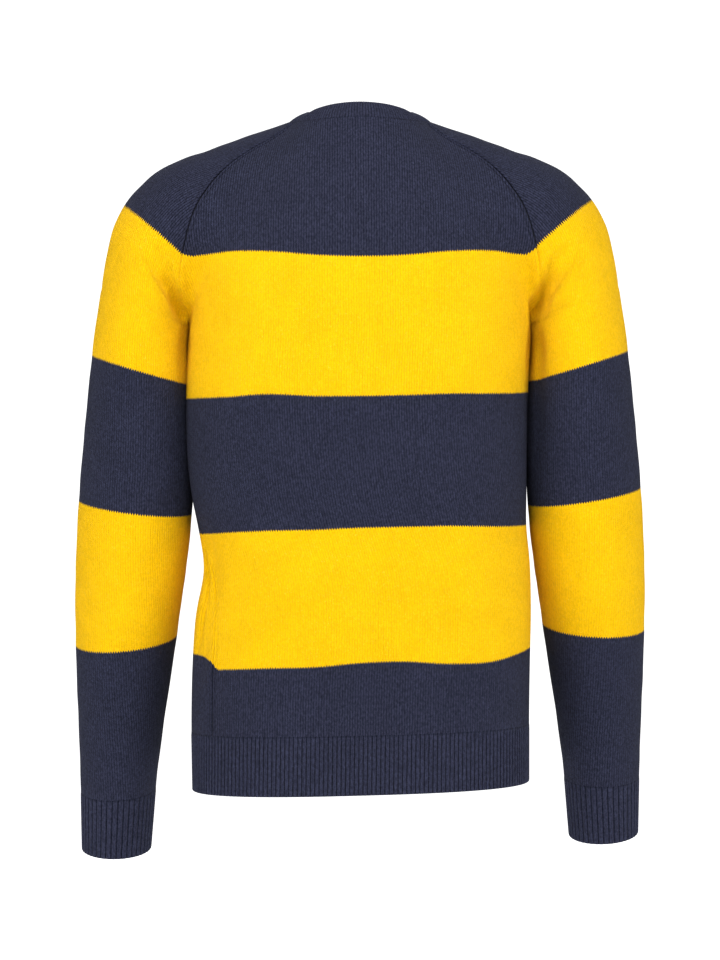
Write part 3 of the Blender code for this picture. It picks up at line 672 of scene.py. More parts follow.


# %% [markdown]
# ## Creases
# A worn jumper is pulled into a few soft creases: a deep one where each sleeve leaves the back,
# fainter ones that drag from the armpits, and shallow ones at the elbows, above the cuffs and at the
# waist. A cloth simulation could find some of them, but not those of the photograph, so each is given
# as a line of points with a width and a depth at each. In the tables the rows with one number are the
# points of one crease. A depth over 0 is a trough and one under 0 a ridge.

# %% Creases at the armpits
# Creases 1 to 3 are behind at the left, 4 to 6 behind at the right, and 7 and 8 in front
ARMPIT_CREASES = (
    # crease, out, back, up, width, depth
    (1, 0.2070, 0.0690, -0.1460, 0.006, 0.0000),
    (1, 0.2005, 0.0655, -0.1600, 0.006, 0.0022),
    (1, 0.1938, 0.0590, -0.1725, 0.006, 0.0045),
    (1, 0.1882, 0.0500, -0.1840, 0.0055, 0.0068),
    (1, 0.1840, 0.0395, -0.1955, 0.0055, 0.0078),
    (1, 0.1822, 0.0340, -0.2045, 0.0055, 0.0055),
    (1, 0.1806, 0.0270, -0.2133, 0.0055, 0.0015),
    (1, 0.1800, 0.0190, -0.2230, 0.006, 0.0000),
    (2, 0.2110, 0.0680, -0.1500, 0.009, 0.0000),
    (2, 0.2045, 0.0655, -0.1620, 0.010, 0.0018),
    (2, 0.1985, 0.0590, -0.1750, 0.010, 0.0032),
    (2, 0.1935, 0.0500, -0.1870, 0.010, 0.0038),
    (2, 0.1895, 0.0400, -0.1990, 0.010, 0.0030),
    (2, 0.1870, 0.0340, -0.2100, 0.009, 0.0010),
    (2, 0.1860, 0.0260, -0.2350, 0.009, 0.0014),
    (2, 0.1860, 0.0200, -0.3200, 0.009, 0.0000),
    (3, 0.1960, 0.0680, -0.1520, 0.006, 0.0000),
    (3, 0.1880, 0.0620, -0.1700, 0.006, -0.0020),
    (3, 0.1820, 0.0545, -0.1820, 0.006, -0.0034),
    (3, 0.1775, 0.0450, -0.1950, 0.006, -0.0038),
    (3, 0.1750, 0.0400, -0.2060, 0.006, -0.0030),
    (3, 0.1740, 0.0350, -0.2300, 0.006, 0.0000),
    (4, -0.2010, 0.0700, -0.1460, 0.006, 0.0000),
    (4, -0.1937, 0.0654, -0.1600, 0.006, 0.0020),
    (4, -0.1870, 0.0574, -0.1720, 0.006, 0.0045),
    (4, -0.1824, 0.0487, -0.1820, 0.0055, 0.0070),
    (4, -0.1780, 0.0390, -0.1920, 0.0055, 0.0080),
    (4, -0.1765, 0.0325, -0.2010, 0.0055, 0.0060),
    (4, -0.1762, 0.0260, -0.2100, 0.006, 0.0015),
    (4, -0.1775, 0.0200, -0.2200, 0.006, 0.0000),
    (5, -0.2050, 0.0690, -0.1490, 0.009, 0.0000),
    (5, -0.1975, 0.0655, -0.1620, 0.010, 0.0016),
    (5, -0.1915, 0.0580, -0.1750, 0.010, 0.0032),
    (5, -0.1875, 0.0500, -0.1860, 0.011, 0.0042),
    (5, -0.1840, 0.0420, -0.1980, 0.011, 0.0030),
    (5, -0.1820, 0.0360, -0.2100, 0.010, 0.0008),
    (5, -0.1825, 0.0300, -0.2400, 0.011, 0.0045),
    (5, -0.1830, 0.0250, -0.3100, 0.011, 0.0030),
    (5, -0.1830, 0.0200, -0.3900, 0.010, 0.0000),
    (6, -0.1900, 0.0690, -0.1510, 0.006, 0.0000),
    (6, -0.1815, 0.0610, -0.1700, 0.006, -0.0018),
    (6, -0.1760, 0.0530, -0.1820, 0.006, -0.0030),
    (6, -0.1712, 0.0450, -0.1935, 0.006, -0.0036),
    (6, -0.1695, 0.0400, -0.2050, 0.006, -0.0028),
    (6, -0.1700, 0.0350, -0.2300, 0.006, 0.0000),
    (7, 0.2080, -0.0760, -0.1480, 0.009, 0.0000),
    (7, 0.1960, -0.0690, -0.1700, 0.009, 0.0045),
    (7, 0.1850, -0.0540, -0.1950, 0.008, 0.0055),
    (7, 0.1820, -0.0300, -0.2150, 0.006, 0.0000),
    (8, -0.2050, -0.0760, -0.1460, 0.009, 0.0000),
    (8, -0.1930, -0.0690, -0.1680, 0.010, 0.0050),
    (8, -0.1830, -0.0540, -0.1930, 0.008, 0.0060),
    (8, -0.1800, -0.0300, -0.2130, 0.006, 0.0000),
)

# %% Creases at the waist
WAIST_CREASES = (
    # crease, out, back, up, width, depth
    (11, 0.1620, 0.0200, -0.4300, 0.005, 0.0000),
    (11, 0.1612, 0.0265, -0.4450, 0.005, 0.0070),
    (11, 0.1592, 0.0315, -0.4600, 0.005, 0.0095),
    (11, 0.1570, 0.0395, -0.4730, 0.005, 0.0095),
    (11, 0.1600, 0.0400, -0.4900, 0.005, 0.0085),
    (11, 0.1618, 0.0410, -0.5060, 0.005, 0.0075),
    (11, 0.1648, 0.0395, -0.5260, 0.005, 0.0050),
    (11, 0.1675, 0.0370, -0.5440, 0.005, 0.0020),
    (11, 0.1690, 0.0340, -0.5560, 0.005, 0.0000),
    (12, 0.1560, 0.0400, -0.4350, 0.005, 0.0000),
    (12, 0.1535, 0.0430, -0.4560, 0.006, -0.0018),
    (12, 0.1510, 0.0490, -0.4730, 0.006, -0.0020),
    (12, 0.1540, 0.0490, -0.4980, 0.006, -0.0020),
    (12, 0.1575, 0.0480, -0.5220, 0.006, -0.0014),
    (12, 0.1620, 0.0450, -0.5500, 0.005, 0.0000),
)

# %% Creases that drag over the back and the front
DRAG_CREASES = (
    # crease, out, back, up, width, depth
    (21, 0.1700, 0.0640, -0.2350, 0.012, 0.0000),
    (21, 0.1480, 0.0920, -0.2620, 0.015, 0.0013),
    (21, 0.1150, 0.1090, -0.3020, 0.018, 0.0000),
    (22, 0.1700, 0.0660, -0.2650, 0.010, 0.0000),
    (22, 0.1560, 0.0860, -0.2960, 0.012, 0.0009),
    (22, 0.1350, 0.1010, -0.3450, 0.013, 0.0000),
    (23, -0.1680, 0.0660, -0.2280, 0.011, 0.0000),
    (23, -0.1520, 0.0900, -0.2520, 0.014, 0.0012),
    (23, -0.1300, 0.1040, -0.2860, 0.016, 0.0000),
    (24, -0.1690, 0.0640, -0.2750, 0.012, 0.0000),
    (24, -0.1450, 0.0960, -0.3200, 0.014, 0.0010),
    (24, -0.1150, 0.1080, -0.3700, 0.015, 0.0000),
    (25, 0.0550, 0.1140, -0.4600, 0.020, 0.0000),
    (25, 0.0760, 0.1120, -0.5350, 0.024, 0.0012),
    (25, 0.0900, 0.1100, -0.6150, 0.022, 0.0000),
    (26, -0.1180, 0.1060, -0.4150, 0.012, 0.0000),
    (26, -0.1380, 0.0980, -0.4500, 0.014, 0.0013),
    (26, -0.1540, 0.0860, -0.4900, 0.012, 0.0000),
    (27, 0.1650, -0.0720, -0.2400, 0.011, 0.0000),
    (27, 0.1420, -0.0980, -0.2800, 0.015, 0.0014),
    (27, 0.1100, -0.1130, -0.3350, 0.016, 0.0000),
    (28, -0.1650, -0.0720, -0.2350, 0.012, 0.0000),
    (28, -0.1480, -0.0940, -0.2680, 0.014, 0.0012),
    (28, -0.1250, -0.1080, -0.3150, 0.015, 0.0000),
    (29, 0.0800, -0.1160, -0.4400, 0.021, 0.0000),
    (29, 0.0660, -0.1170, -0.5050, 0.024, 0.0013),
    (29, 0.0480, -0.1170, -0.5700, 0.020, 0.0000),
    (30, -0.1000, -0.1120, -0.4900, 0.018, 0.0000),
    (30, -0.0880, -0.1140, -0.5500, 0.020, 0.0010),
    (30, -0.0850, -0.1140, -0.6150, 0.020, 0.0000),
)

# %% Creases of the sleeves
SLEEVE_CREASES = (
    # crease, out, back, up, width, depth
    (41, -0.2050, 0.0400, -0.3180, 0.006, 0.0000),
    (41, -0.2370, 0.0480, -0.3030, 0.007, 0.0017),
    (41, -0.2700, 0.0280, -0.2870, 0.006, 0.0000),
    (42, 0.1860, 0.0200, -0.3440, 0.008, 0.0000),
    (42, 0.2050, 0.0380, -0.3530, 0.010, 0.0018),
    (42, 0.2420, 0.0480, -0.3760, 0.011, 0.0000),
    (43, 0.1860, 0.0160, -0.3900, 0.007, 0.0000),
    (43, 0.1980, 0.0300, -0.3940, 0.008, 0.0012),
    (43, 0.2240, 0.0420, -0.4030, 0.009, 0.0000),
    (44, 0.1880, 0.0060, -0.4360, 0.009, 0.0000),
    (44, 0.2060, 0.0240, -0.4470, 0.011, 0.0016),
    (44, 0.2420, 0.0340, -0.4680, 0.012, 0.0000),
    (45, -0.1860, 0.0200, -0.3240, 0.008, 0.0000),
    (45, -0.2020, 0.0380, -0.3360, 0.010, 0.0016),
    (45, -0.2330, 0.0490, -0.3600, 0.010, 0.0000),
    (46, -0.1870, 0.0100, -0.4100, 0.009, 0.0000),
    (46, -0.2050, 0.0280, -0.4190, 0.011, 0.0015),
    (46, -0.2400, 0.0380, -0.4330, 0.011, 0.0000),
    (47, 0.2260, -0.0300, -0.6380, 0.008, 0.0000),
    (47, 0.2400, -0.0100, -0.6450, 0.010, 0.0013),
    (47, 0.2660, 0.0020, -0.6560, 0.010, 0.0000),
    (48, -0.2260, -0.0300, -0.6220, 0.008, 0.0000),
    (48, -0.2420, -0.0100, -0.6300, 0.010, 0.0012),
    (48, -0.2680, 0.0040, -0.6440, 0.010, 0.0000),
    (49, 0.2880, -0.0600, -0.6540, 0.008, 0.0000),
    (49, 0.2720, -0.0860, -0.6580, 0.010, 0.0013),
    (49, 0.2480, -0.0950, -0.6660, 0.009, 0.0000),
    (50, -0.2860, -0.0600, -0.6380, 0.009, 0.0000),
    (50, -0.2680, -0.0860, -0.6440, 0.010, 0.0012),
    (50, -0.2440, -0.0940, -0.6540, 0.009, 0.0000),
)

# %% How deep the creases are
def separate(table):
    """The creases of a table, each as the rows of its points without the number."""
    rows = np.array(table)
    return [rows[rows[:, 0] == number, 1:] for number in np.unique(rows[:, 0])]


def crease_dip(points, crease):
    """How deep one crease is at each point: its nearest place along the line counts."""
    nearest = np.full(len(points), np.inf)
    dip = np.zeros(len(points))
    for start, end in zip(crease[:-1], crease[1:]):
        along = end[:3] - start[:3]
        t = np.clip((points - start[:3]) @ along / (along @ along), 0, 1)[:, None]
        gap = np.linalg.norm(points - start[:3] - t * along, axis=1)
        width, depth = (start[3:] + t * (end[3:] - start[3:])).T
        closer = gap < nearest
        dip = np.where(closer, depth * np.exp(-((gap / width) ** 2)), dip)
        nearest = np.where(closer, gap, nearest)
    return dip


def creased(grid, table):
    """How deep all creases of a table are at each point of a grid."""
    flat = grid.reshape(-1, 3)
    return sum(crease_dip(flat, crease) for crease in separate(table)).reshape(grid.shape[:-1])


CREASES = {
    "armpits": ARMPIT_CREASES,
    "waist": WAIST_CREASES,
    "back and front": DRAG_CREASES,
    "sleeves": SLEEVE_CREASES,
}
for place, table in CREASES.items():
    print(place + ":", len(separate(table)), "creases")

# %% [markdown]
# ## Seams
# A linked seam pulls the cloth down into a fine groove, with a low roll beside it, and on the body a
# second line follows where the stitches were narrowed. A bump map could draw this, but the groove is
# over a millimetre deep, so it is real relief. The panels' normals run into shared ones near it, so that
# the two sides meet without a step in the shading.

# %% Seams
# How far the cloth lies below or above its plain surface at distances from a seam
BODY_SEAM = (
    # far, rise
    (0.0000, -0.0013),
    (0.0007, -0.0006),
    (0.0014, 0.0002),
    (0.0024, 0.0005),
    (0.0034, 0.0002),
    (0.0042, -0.0005),
    (0.0050, -0.0001),
    (0.0065, 0.0001),
    (0.0090, 0.0000),
)
SLEEVE_SEAM = (
    # far, rise
    (0.0000, -0.0013),
    (0.0007, -0.0007),
    (0.0014, -0.0001),
    (0.0024, 0.0002),
    (0.0034, 0.0002),
    (0.0042, 0.0001),
    (0.0050, 0.0000),
    (0.0065, 0.0000),
    (0.0090, 0.0000),
)
# How strong that relief is, against the height of the seam: the fold of the armpit pulls it flat
SEAM_STRENGTH = (
    # height, body, sleeve
    (-0.700, 0.45, 0.30),
    (-0.440, 0.45, 0.30),
    (-0.400, 0.10, 0.00),
    (-0.215, 0.00, 0.00),
    (-0.190, 0.10, 0.10),
    (-0.150, 0.45, 0.45),
    (-0.120, 1.00, 1.00),
    (0.000, 1.00, 1.00),
)
SEAM_COLUMNS = [row[0] for row in BODY_SEAM]
# Over this width from a raglan seam the normals of both pieces run into shared ones
SEAM_SHARED = 0.012
NORMAL_ROUNDS = 3
SEAM_NORMAL_ROUNDS = 6


def seam_rise(grid, table, sleeve):
    """How near the closer seam each point is, and the relief there."""
    lengths = row_lengths(grid)
    near = np.minimum(lengths, lengths[:, -1:] - lengths)
    far, rise = np.array(table).T
    strength = read_table(SEAM_STRENGTH, grid[:, :1, 2])[..., int(sleeve)]
    return near, np.interp(near, far, rise) * strength


def shared_normals(normal, near, grid, armpit):
    """The normals with those of both pieces run into the form's own at the raglan seams."""
    for end in (0, -1):
        own = evened(outward_of(body_form, grid[armpit:, end])[:, None], SEAM_NORMAL_ROUNDS)
        half = np.arange(grid.shape[1]) < grid.shape[1] / 2
        share = np.clip(1 - near[armpit:] / SEAM_SHARED, 0, 1) * (half if end == 0 else ~half)
        normal[armpit:] += (share * share * (3 - 2 * share))[..., None] * (unit(own) - normal[armpit:])
    return unit(normal)


# %% [markdown]
# ## A shell
# Cloth has two sides and cut or sewn edges. A Solidify modifier would thicken a single sheet, but it
# rounds no edge and can't tell the outer side's relief from the plain inner side. So each shell is made
# from two grids, joined all round its rim, with the place of each stitch in a map called knit.

# %% Making a shell
# Edges of faces that turn by more than this many degrees are drawn sharp
SHARP_FROM = 60
GARMENT = bpy.data.collections.new("striped_jumper")
bpy.context.scene.collection.children.link(GARMENT)


def shell(name, outer, inner, across, along, closed=False, marks=()):
    """A thin closed shell between two grids, with the knitting's coordinates as a map in metres.

    A closed grid's last column lies on its first one. Marks are named numbers for each outer point.
    """
    rows, columns = outer.shape[:2]
    spans = columns - 1
    width = spans if closed else columns
    keep = np.s_[:, :width]
    points = np.concatenate([outer[keep].reshape(-1, 3), inner[keep].reshape(-1, 3)])
    r, c = np.meshgrid(np.arange(rows - 1), np.arange(spans), indexing="ij")
    corners = [(r, c), (r, c + 1), (r + 1, c + 1), (r + 1, c)]
    squares, maps = [], []
    for layer in (0, 1):
        order = corners if layer == 0 else corners[::-1]
        squares.append(np.stack([layer * rows * width + i * width + j % width for i, j in order], -1))
        maps.append(np.stack([np.stack([across[i, j], along[i, j]], -1) for i, j in order], 2))
    faces = [q.reshape(-1, 4) for q in squares]
    spots = [m.reshape(-1, 4, 2) for m in maps]

    def rim(line_r, line_c, turned):
        a_r, b_r, a_c, b_c = line_r[:-1], line_r[1:], line_c[:-1], line_c[1:]
        ids = [a_r * width + a_c % width, b_r * width + b_c % width]
        strip = [ids[0], ids[1], rows * width + ids[1], rows * width + ids[0]]
        place = [(a_r, a_c), (b_r, b_c), (b_r, b_c), (a_r, a_c)]
        if turned:
            strip, place = strip[::-1], place[::-1]
        faces.append(np.stack(strip, -1))
        spots.append(np.stack([np.stack([across[i, j], along[i, j]], -1) for i, j in place], 1))

    all_c, all_r = np.arange(columns), np.arange(rows)
    rim(np.zeros(columns, int), all_c, True)
    rim(np.full(columns, rows - 1), all_c, False)
    if not closed:
        rim(all_r, np.zeros(rows, int), False)
        rim(all_r, np.full(rows, spans), True)
    faces, spots = np.concatenate(faces), np.concatenate(spots)
    quads = points[faces[: (rows - 1) * spans]]
    turn = np.cross(quads[:, 2] - quads[:, 0], quads[:, 3] - quads[:, 1])
    way = (outer - inner)[:-1, :-1].reshape(-1, 3)
    if np.sum(turn * way) < 0:
        faces, spots = faces[:, ::-1], spots[:, ::-1]
    mesh = bpy.data.meshes.new(name + "_cloth")
    mesh.vertices.add(len(points))
    mesh.vertices.foreach_set("co", points.ravel())
    mesh.loops.add(faces.size)
    mesh.loops.foreach_set("vertex_index", faces.ravel())
    mesh.polygons.add(len(faces))
    mesh.polygons.foreach_set("loop_start", np.arange(len(faces)) * 4)
    mesh.polygons.foreach_set("loop_total", np.full(len(faces), 4))
    mesh.update(calc_edges=True)
    mesh.uv_layers.new(name="knit").data.foreach_set("uv", spots.ravel())
    for mark, values in marks:
        both = np.concatenate([values[keep].ravel()] * 2)
        mesh.attributes.new(mark, "FLOAT", "POINT").data.foreach_set("value", both)
    mesh.shade_smooth()
    mesh.set_sharp_from_angle(angle=np.radians(SHARP_FROM))
    obj = bpy.data.objects.new(name + "_cloth", mesh)
    GARMENT.objects.link(obj)
    one_side = sum(face.area for face in mesh.polygons[: (rows - 1) * spans])
    print(obj.name, len(faces) * 2, "triangles, area of its outer side", round(one_side, 4))
    return obj


# %% [markdown]
# ## Front, back and sleeves
# The back, the front and the sleeves are four panels of plain knitting, narrowed towards the neck and
# linked along the raglan seams. Each is a shell of its own, so that it can be measured and coloured
# alone, and the same seam line gives two panels their common edge.

# %% The four panels' grids
BODY_COLUMNS = 52
BODY_ROWS_BELOW = 28
SLEEVE_COLUMNS = 44
SLEEVE_ROWS_BELOW = 30
# Rows above the armpit, which are closer together near it
YOKE_ROWS = 23
YOKE_CROWDING = 1.3
shares = np.linspace(0, 1, YOKE_ROWS) ** YOKE_CROWDING
PANELS = {
    "back_panel": body_grid(1, BODY_COLUMNS, BODY_ROWS_BELOW, shares),
    "front_panel": body_grid(-1, BODY_COLUMNS, BODY_ROWS_BELOW, shares),
    "sleeve_left": sleeve_rows(1, SLEEVE_COLUMNS, SLEEVE_ROWS_BELOW, shares),
    "sleeve_right": sleeve_rows(-1, SLEEVE_COLUMNS, SLEEVE_ROWS_BELOW, shares),
}
for name, grid in PANELS.items():
    print(f"{name}: a grid of {grid.shape[0]} rows and {grid.shape[1]} columns")

# %% [markdown]
# ## Where the stripes lie
# A stripe is a number of courses in another yarn, so its edges follow the courses of each panel. Each
# point of a panel gets a level: the height that it would have if all edges were straight and level. The
# wool's material then needs four numbers only, and the edges stay sharp at any distance.

# %% The stripes' edges
# The four heights at which the level passes from one colour to the next
STRIPE_EDGES = (-0.1440, -0.2850, -0.4190, -0.5550)
# Heights of the same four edges on the body, as knitted. They waver by a few millimetres.
BODY_STRIPES = (
    # across, first, second, third, fourth
    (-0.180, -0.1355, -0.2815, -0.4200, -0.5450),
    (-0.175, -0.1386, -0.2820, -0.4200, -0.5460),
    (-0.170, -0.1422, -0.2826, -0.4200, -0.5475),
    (-0.160, -0.1428, -0.2836, -0.4200, -0.5500),
    (-0.140, -0.1406, -0.2842, -0.4195, -0.5547),
    (-0.092, -0.1416, -0.2843, -0.4175, -0.5557),
    (-0.044, -0.1459, -0.2856, -0.4175, -0.5520),
    (0.004, -0.1471, -0.2860, -0.4178, -0.5527),
    (0.040, -0.1458, -0.2858, -0.4190, -0.5555),
    (0.100, -0.1409, -0.2833, -0.4200, -0.5567),
    (0.136, -0.1406, -0.2856, -0.4218, -0.5580),
    (0.144, -0.1414, -0.2857, -0.4225, -0.5580),
    (0.150, -0.1420, -0.2858, -0.4230, -0.5520),
    (0.160, -0.1430, -0.2859, -0.4237, -0.5465),
    (0.171, -0.1437, -0.2860, -0.4240, -0.5455),
    (0.181, -0.1412, -0.2860, -0.4240, -0.5450),
)
# On the sleeves a stripe follows a course, so its edge is the height of one at the outside of the arm
SLEEVE_STRIPES = {
    "sleeve_left": (-0.0868, -0.2402, -0.3880, -0.5367),
    "sleeve_right": (-0.0818, -0.2392, -0.3823, -0.5320),
}
# Near the shoulder the courses of a sleeve rise towards its seams
YOKE_SLANT = 0.21
YOKE_SLANT_FROM = 0.232
YOKE_SLANT_TOP, YOKE_SLANT_FOOT = -0.120, -0.190


def yoke_slant(grid):
    """How much higher than at the outside of the arm a sleeve's course lies at each point."""
    height = grid[:, grid.shape[1] // 2, 2][:, None]
    share = np.clip((height - YOKE_SLANT_FOOT) / (YOKE_SLANT_TOP - YOKE_SLANT_FOOT), 0, 1)
    return share * YOKE_SLANT * (YOKE_SLANT_FROM - np.abs(grid[..., 0]))


def stripe_level(course, edges):
    """The height that each point would have if the four edges lay at STRIPE_EDGES."""
    level = np.empty(course.shape)
    for i in range(len(STRIPE_EDGES) - 1):
        share = (course - edges[i]) / (edges[i + 1] - edges[i])
        there = STRIPE_EDGES[i] + share * (STRIPE_EDGES[i + 1] - STRIPE_EDGES[i])
        level = np.where((share >= 0) | (i == 0), there, level)
    return level


# %% Making the panels
# A point inside the body, which tells a panel's outer side from its inner one
BODY_MIDDLE = np.array([0, 0, -0.4])


def panel(name, grid, below, creases, seam):
    """Refines a panel's grid, adds its creases and seams, and makes its shell."""
    sleeve = name.startswith("sleeve")
    grid = finer(grid, below)
    armpit = below * FINER
    middle = grid[:, [0, -1]].mean(axis=1)
    normal = grid_normals(grid, middle if sleeve else BODY_MIDDLE)
    both = crowded(np.concatenate([grid, evened(normal, NORMAL_ROUNDS)], -1), SEAM_COLUMNS)
    grid, normal = both[..., :3], unit(both[..., 3:])
    near, rise = seam_rise(grid, seam, sleeve)
    normal = shared_normals(normal, near, grid, armpit)
    dip = creased(grid, creases)
    outer = grid + (rise - dip)[..., None] * normal
    inner = grid - (WALL + dip)[..., None] * normal
    lengths = row_lengths(grid)
    half = grid.shape[1] // 2
    across = lengths - lengths[:, half : half + 1]
    steps = np.linalg.norm(np.diff(grid[:, half], axis=0), axis=1)
    along = np.concatenate([[0], np.cumsum(steps)])[:, None] + 0 * across
    if sleeve:
        course = grid[:, half, 2][:, None] - yoke_slant(grid)
        edges = SLEEVE_STRIPES[name]
    else:
        course = grid[..., 2]
        edges = np.moveaxis(read_table(BODY_STRIPES, grid[..., 0]), -1, 0)
    level = stripe_level(course, edges)
    obj = shell(name, hang(outer), hang(inner), across, along, marks=[("level", level), ("seam", near)])
    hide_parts(name)
    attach(obj, "root")
    return obj


CLOTH = {}
for name, grid in PANELS.items():
    sleeve = name.startswith("sleeve")
    CLOTH[name] = panel(
        name,
        grid,
        SLEEVE_ROWS_BELOW if sleeve else BODY_ROWS_BELOW,
        ARMPIT_CREASES + (SLEEVE_CREASES if sleeve else WAIST_CREASES + DRAG_CREASES),
        SLEEVE_SEAM if sleeve else BODY_SEAM,
    )

# %% [markdown]
# ## Ribs
# Hem, cuffs and neckband are ribbed: raised columns of stitches with sunk ones between. From a step
# away the ribs are real relief, so they are modelled: each has eight columns of faces over its round
# back. An array of one rib would be simpler, but a strip between two lines also follows a curved seam.
# The open edge is a rounded one, as a folded or cast-off edge is.

# %% Ribbed strips
# How far a rib stands above the cloth's plain surface and a groove lies below it. A power under 1 gives
# the ribs broad backs and the grooves narrow floors.
RIB_HIGH = 0.00035
RIB_LOW = -0.0005
RIB_POWER = 0.75
RIB_FACES = 8
RIB_ROWS = 14
# Over this length from the sewn end the ribs rise, and this far the strip goes on under the panel
RIB_FADE = 0.004
RIB_TUCK = 0.0012
TUCK_UNDER = 0.0004
# How the rounded edge runs from the outer to the inner side: shares of its reach and of the thickness
EDGE_TURN = (
    # ahead, inwards
    (0.7, 0.125),
    (1.0, 0.350),
    (1.0, 0.650),
    (0.7, 0.875),
)
# How far the edge reaches, and how far apart its points are in the knitting's map
EDGE_ROUND = 0.0010
EDGE_STEP = 0.0004


def rib_shape(turn):
    """From 0 in the groove between two ribs to 1 on a rib, for a position counted in ribs."""
    return np.abs(np.sin(np.pi * turn)) ** RIB_POWER


def strip(name, low, high, out_low, out_high, pitch, open_end, closed, relief=1.0, bow=0.0):
    """A ribbed strip between two lines of points, with a rounded edge at its open end."""
    ribs = int(round(line_length(low) / pitch))
    turn = np.linspace(0, 1, ribs * RIB_FACES + 1)
    low, high = by_length(low, turn), by_length(high, turn)
    out_low, out_high = by_turn(out_low, turn), by_turn(out_high, turn)
    if open_end == "low":
        low, high, out_low, out_high = high, low, out_high, out_low
    # From here on low is the sewn end and high the open one
    deep = np.linalg.norm(high - low, axis=1).mean()
    way = unit(high - low)
    high = high - EDGE_ROUND * way
    t = np.linspace(0, 1, RIB_ROWS)
    rows = low + t[:, None, None] * (high - low)
    out = unit(out_low + t[:, None, None] * (out_high - out_low))
    fade = np.clip(t * deep / RIB_FADE, 0, 1)
    shape = relief * (RIB_LOW + (RIB_HIGH - RIB_LOW) * rib_shape(turn * ribs))
    rise = fade[:, None] * shape + (bow * np.sin(np.pi * t))[:, None]
    outer = rows + rise[..., None] * out
    inner = rows - WALL * out
    thick = (WALL + rise[-1])[:, None]
    edge = []
    for ahead, inwards in EDGE_TURN:
        edge.append(outer[-1] + EDGE_ROUND * ahead * way - inwards * thick * out[-1])
    tuck = low - RIB_TUCK * way - TUCK_UNDER * out_low
    outer = np.concatenate([tuck[None], outer, edge])
    inner = np.concatenate([(inner[0] - RIB_TUCK * way)[None], inner, np.repeat(inner[-1:], len(edge), 0)])
    across = np.broadcast_to(turn * ribs, outer.shape[:2])
    along = np.concatenate([[-RIB_TUCK], t * deep, deep + EDGE_STEP * np.arange(1, len(edge) + 1)])
    along = np.broadcast_to(along[:, None], outer.shape[:2])
    obj = shell(name, hang(outer), hang(inner), across, along, closed=closed)
    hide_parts(name)
    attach(obj, "root")
    return obj


def by_turn(ways, turn):
    """Directions at shares of the way round, between the given ones."""
    at = np.linspace(0, 1, len(ways))
    return unit(np.stack([np.interp(turn, at, ways[:, k]) for k in range(3)], -1))


# %% [markdown]
# ## Hem
# The hem is knitted first, with the body's own stitches, so it has the body's width and no seam above
# it. It is in two halves, back and front, each between two level rings of the torso.

# %% The hem
HEM = -0.685
BODY_RIB_PITCH = 0.0044
RIB_POINTS = 301
for name, facing in (("hem_rib_back", 1), ("hem_rib_front", -1)):
    lines, ways = [], []
    for height in (HEM, HEM_RIB_TOP):
        left, right = read_table(SIDE_SEAM, height)
        turn = np.linspace(0, 1, RIB_POINTS)
        last = facing * 180 - right
        line = ring_point(left + (last - left) * turn, np.full(RIB_POINTS, height))
        line = settle(body_form, line, (0, 0, 1))
        lines.append(line)
        ways.append(unit(outward_of(body_form, line) * [1, 1, 0]))
    CLOTH[name] = strip(name, *lines, *ways, BODY_RIB_PITCH, "low", False)

# %% [markdown]
# ## Cuffs
# A cuff is a short tube of coarser ribs. It lies between two courses of the sleeve, and its first column
# of points is its last one too, so that the ribs run round without a break.

# %% The cuffs
CUFF_END = -0.753
CUFF_RIB_PITCH = 0.0056
CUFF_POINTS = 240
for name, side in (("cuff_left", 1), ("cuff_right", -1)):
    lines, ways = [], []
    sided = np.array([side, 1, 1])
    for up in (CUFF_END, CUFF_TOP):
        row, normal = sleeve_ring(crest_length(up), CUFF_POINTS)
        line = settle(sleeve_form, row * sided, normal * sided)
        way = outward_of(sleeve_form, line)
        way -= np.sum(way * normal * sided, -1, keepdims=True) * normal * sided
        lines.append(line)
        ways.append(unit(way))
    CLOTH[name] = strip(name, *lines, *ways, CUFF_RIB_PITCH, "low", True)

# %% [markdown]
# ## Neckband
# The neckband is a strip of its own, linked to all four panels. It stands on the neckline and leans
# inwards, more at the sides than in the middle. The way it leans comes from the neckline's table, and
# the directions along the seam are evened first, so that it doesn't kink where the raglan seams end.

# %% The neckband
# Its ribs are single wales, much finer and flatter than those of the hem and cuffs
NECKBAND_DEEP = 0.022
NECK_RIB_PITCH = 0.0030
NECK_RIB_RELIEF = 0.35
NECK_BOW = 0.0012
NECK_EVENING_ROUNDS = 120
half, lean = neck_points(0, len(NECKLINE) - 1, RIB_POINTS)
seam = np.concatenate([half, mirrored(half)[-2::-1]])
turn = np.linspace(0, 1, len(seam))
lean = np.radians(np.interp(1 - np.abs(2 * turn - 1), np.linspace(0, 1, len(lean)), lean))[:, None]
along = unit(np.roll(seam[:-1], -1, 0) - np.roll(seam[:-1], 1, 0))
along = relaxed(along, NECK_EVENING_ROUNDS)
inwards = unit(np.cross([0.0, 0.0, 1.0], along))
inwards *= -np.sign(np.sum(inwards * seam * [1, 1, 0], 1, keepdims=True))
rise = np.cos(lean) * [0, 0, 1] + np.sin(lean) * inwards
rise = unit(rise - np.sum(rise * along, 1, keepdims=True) * along)
out = unit(np.cross(along, rise))
out *= -np.sign(np.sum(out * inwards, 1, keepdims=True))
cloth_out = outward_of(body_form, seam)
top = seam + NECKBAND_DEEP * rise
CLOTH["neckband"] = strip(
    "neckband",
    seam,
    top,
    cloth_out,
    out,
    NECK_RIB_PITCH,
    "high",
    True,
    relief=NECK_RIB_RELIEF,
    bow=NECK_BOW,
)

# %% [markdown]
# ## Wool
# The cloth is plain knitting in soft, lightly brushed wool. Three things show: the wales, which are fine
# upright columns of V-shaped stitches, the nap that half hides them, and the stripes, whose edges have a
# small tooth at each wale. Each is a node group, so that it is built once: panels and ribs share the
# first two, and both sleeves, the back and the front share the third.

